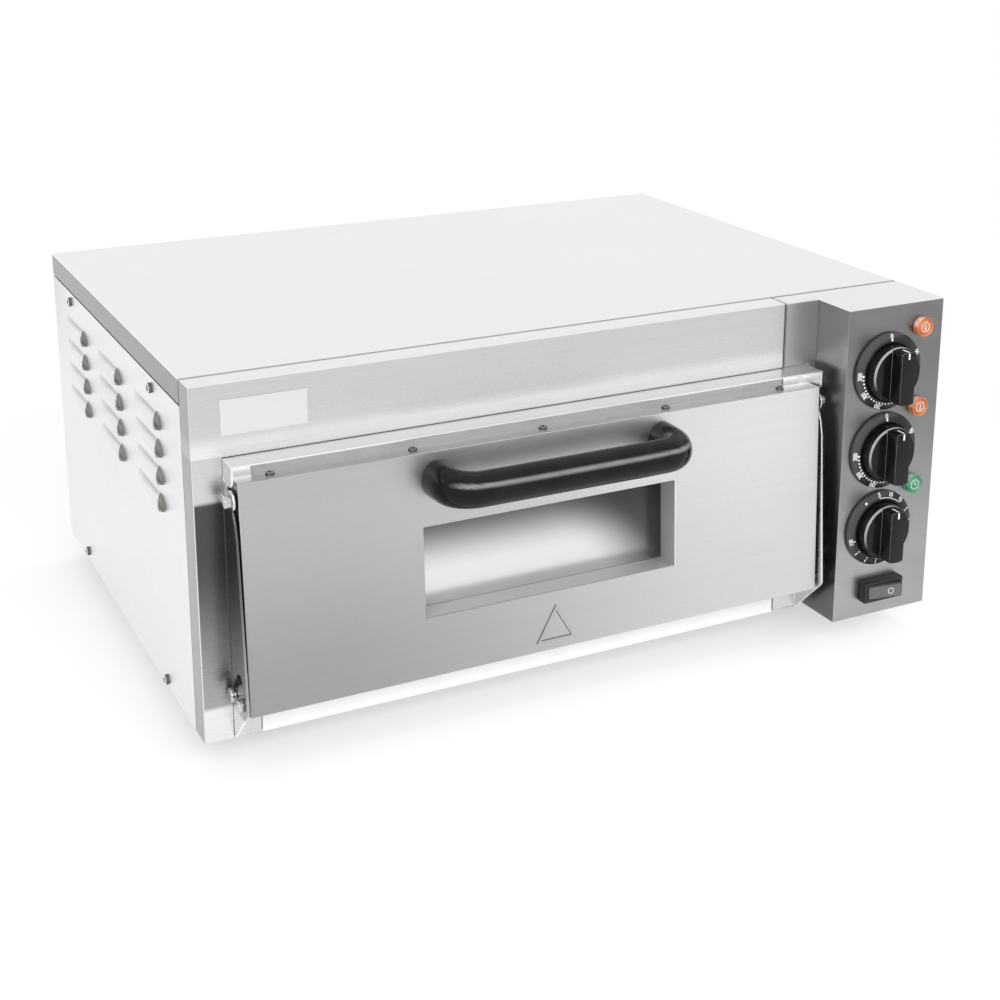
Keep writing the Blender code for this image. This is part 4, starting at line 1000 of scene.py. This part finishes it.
def make_steels():
    door = {"tone": 0.50, "along": "x", "length": 0.004, "roughness": 0.38}
    casing = {"tone": 0.62, "along": "x", "length": 0.030, "roughness": 0.28, "shade": casing_shade}
    looks = {
        "casing": brushed_steel("casing steel", **casing),
        # the brackets carry a painted glow where the hood's open ends show them
        "bracket": brushed_steel("bracket steel", **casing, glow=notch_glow),
        "side": brushed_steel("side steel", 0.84, "y", 0.020, 0.34, shade=side_shade, edge=0.0),
        "top": brushed_steel("lid steel", 0.83, "x", 0.030, 0.30, cloud=0.02, streak=0.02, shade=lid_shade),
        "column": brushed_steel("column steel", 0.56, "x", 0.0016, 0.34, shade=column_shade, edge=1.6),
        "door": brushed_steel("door steel", **door, shade=door_shade),
        "stamped": brushed_steel("pressed sign", **door, shade=stamped_shade, edge=0.0),
        # painted light: the hood's tone is set paler than the casing's, standing in for a lamp's reflection
        "hood": brushed_steel("hood steel", 0.88, "x", 0.030, 0.30),
        "back": brushed_steel("back panel steel", 0.60, "x", 0.020, 0.36, streak=0.05),
        "badge": brushed_steel("badge plate", 0.80, "x", 0.020, 0.35, cloud=0.01, streak=0.01),
        "inner": rolled_steel("chamber steel", 0.60, 0.30),
        # painted light: the mouth steel is paler and less metallic than the rest and glows faintly beneath
        # the hood
        "mouth": rolled_steel("mouth steel", 0.85, 0.45, metallic=0.25, glow=0.04),
        "tunnel": rolled_steel("window frame steel", 0.50, 0.42, metallic=0.35),
        "zinc": rolled_steel("zinced steel", 0.58, 0.42, mottle=0.10, scale=70.0),
        "plain": rolled_steel("plain steel", 0.42, 0.40),
        "bright": rolled_steel("bright steel", 0.58, 0.16, scale=90.0),
    }
    for axis, label in enumerate(("side", "back", "door")):
        looks[f"{label}_screw"] = screw_steel(f"{label} screw", axis)
    return looks


def make_finishes():
    return {
        **make_steels(),
        "heater": heater_tube("heater tube"),
        "stone": fired_stone("baking stone"),
        "wool": mineral_wool("mineral wool"),
        "handle": moulded_plastic("handle black", 0.003, 0.12, 0.015, 0.0012, level=0.20,
                                  sheen=grip_sheen, light=0.22),
        "dial": moulded_plastic("dial black", 0.010, 0.36, 0.10, level=0.26, sheen=ring_sheen),
        "knob": moulded_plastic("knob black", 0.005, 0.20, 0.06, level=0.22, sheen=rim_sheen, light=0.30),
        "switch": moulded_plastic("switch black", 0.016, 0.36, 0.10),
        "rocker": moulded_plastic("rocker smoke", 0.095, 0.10, 0.03, coat=0.6),
        "gland": moulded_plastic("gland black", 0.022, 0.45, 0.10),
        "regulator": porous_ceramic("regulator case", 0.70),
        "ceramic": porous_ceramic("terminal ceramic", 0.80),
        "amber": tinted_lens("amber lens", (0.72, 0.175, 0.010), 0.09),
        "green": tinted_lens("green lens", (0.004, 0.34, 0.16), 0.06),
        "pane": coated_pane("coated glass"),
        "rubber": foot_rubber("foot rubber"),
        "ink": print_ink("white print", 0.80),
    }


def make_controls(looks):
    for label in ("upper", "lower", "timer"):
        body = f"{label}_control"
        finer(f"{label}_dial", f"{label}_scale_ring", 0.0003, 2, looks["dial"], "cabinet")
        finer(f"{label}_knob", f"{label}_grip_knob", 0.0012, 4, looks["knob"], body)
        pointer(label, body, looks["ink"])
    thermostat_scale("upper", looks["ink"])
    thermostat_scale("lower", looks["ink"])
    timer_scale(looks["ink"])
    faces = {label: lamp_lens(f"{label}_lamp", f"{label}_lamp_lens", looks[look])
             for label, look in (("upper", "amber"), ("lower", "amber"), ("timer", "green"))}
    for label, face in faces.items():
        lamp_sign(label, face, looks["ink"])
    finer("switch_housing", "switch_bezel", 0.0006, 3, looks["switch"], "cabinet")
    finer("rocker", "switch_rocker", 0.0004, 3, looks["rocker"], "switch")
    rocker_sign(looks["ink"])


def make_pins_and_feet(looks):
    steel = looks["bright"]
    for side in ("left", "right"):
        finer(f"hinge_pin_{side}", f"hinge_bolt_{side}", 0.0003, 2, steel, "cabinet")
        finer(f"stop_pin_{side}", f"stop_bolt_{side}", 0.0004, 2, steel, "door")
    for foot in ("front_left", "front_right", "rear_left", "rear_right"):
        finer(f"{foot}_foot", f"{foot}_rubber_foot", 0.0008, 3, looks["rubber"], "cabinet")
    finer("cable_gland", "cord_gland", 0.0004, 2, looks["gland"], "cabinet")


def make_oven():
    looks = make_finishes()
    dress_nodes(looks)
    bow_handle(looks["handle"])
    make_controls(looks)
    make_pins_and_feet(looks)
    casing_screws(looks["side_screw"], looks["back_screw"])
    door_screws(looks["door_screw"])
    dome_heads(looks["bright"])
    badge(looks["badge"])
    stamped_triangle(looks["stamped"])


# ---- studio ---------------------------------------------------------------------------------


def soft_lamp(name, place, aim, size, power, mirrored=False):
    """Rectangular lamp turned towards aim; only a mirrored one shows in the steel."""
    light = bpy.data.lights.new(name, "AREA")
    light.shape = "RECTANGLE"
    light.size, light.size_y = size
    light.energy = power
    lamp = bpy.data.objects.new(name, light)
    lamp.location = place
    lamp.rotation_euler = (Vector(aim) - Vector(place)).to_track_quat("-Z", "Y").to_euler()
    lamp.visible_glossy = mirrored
    bpy.context.scene.collection.objects.link(lamp)


def make_floor():
    """Pale matt floor that fades into the white around it."""
    clear_selection()
    bpy.ops.mesh.primitive_plane_add(size=40.0, location=(0.0, 0.0, 0.0))
    floor = started("studio_floor")
    made = Finish("studio floor", roughness=0.9, specular_ior_level=0.0)
    mottle = made.noise(3.0, 2.0, 0.5)
    made.feed(base_color=made.blend(mottle, grey(0.95), grey(0.97)))
    glow = made.node("ShaderNodeEmission", {}, {"Color": (1, 1, 1, 1), "Strength": 1.0})
    reach = made.node("ShaderNodeVectorMath", {"operation": "LENGTH"}, {0: made.place}, "Value")
    lift = 0.45 + reach.over(0.38, 0.80) * 0.55
    mixed = made.node("ShaderNodeMixShader", {}, {0: lift, 1: Wire(made, made.shader.outputs[0]), 2: glow})
    made.tree.links.new(mixed.socket, made.tree.nodes["Material Output"].inputs["Surface"])
    dress(floor, made.material)


def make_sky():
    """White all round, but weaker as a light than as a background or a reflection."""
    world = bpy.data.worlds.new("studio")
    bpy.context.scene.world = world
    world.use_nodes = True
    sky = Graph(world.node_tree)
    camera_ray, glossy, through = [sky.node("ShaderNodeLightPath", out=f"Is {kind} Ray")
                                   for kind in ("Camera", "Glossy", "Transmission")]
    seen = camera_ray + (glossy + through)
    strength = sky.node("ShaderNodeMapRange", {}, {"Value": seen, "To Min": 0.55, "To Max": 1.0})
    background = sky.tree.nodes["Background"]
    background.inputs["Color"].default_value = (1, 1, 1, 1)
    sky.tree.links.new(strength.socket, background.inputs["Strength"])


def make_lamps():
    middle, front = (0.0, 0.0, 0.1), (0.0, -0.2, 0.2)
    soft_lamp("key", (-1.1, -1.3, 1.7), middle, (1.2, 1.2), 13)
    soft_lamp("long front", (0.25, -2.3, 1.50), (0.0, -0.1, 0.2), (3.2, 0.90), 36)
    soft_lamp("left spark", (-2.10, -1.55, 1.05), front, (0.24, 0.24), 5, True)
    soft_lamp("near spark", (-1.35, -1.95, 1.05), front, (0.24, 0.24), 5, True)
    soft_lamp("overhead", (0.2, 0.3, 2.1), middle, (1.6, 1.6), 14)
    soft_lamp("fill", (1.6, -0.9, 1.0), (0.0, 0.0, 0.12), (1.0, 1.2), 7)


def make_camera():
    """Long lens from the front left, a little above the lid."""
    data = bpy.data.cameras.new("camera")
    data.sensor_width = 36.0
    data.lens = 60.052
    data.shift_y = -0.20
    data.clip_start, data.clip_end = 0.05, 60.0
    eye = bpy.data.objects.new("camera", data)
    eye.location = (LEFT_X - 0.257162, FRONT_Y - 0.955325, BASE_Z + 0.560469)
    eye.rotation_euler = Euler((math.pi / 2 - 0.2630, 0.0, -0.4578), "XYZ")
    bpy.context.scene.collection.objects.link(eye)
    bpy.context.scene.camera = eye


make_oven()
make_floor()
make_sky()
make_lamps()
make_camera()
bpy.context.scene.view_settings.view_transform = "Standard"
clear_selection()
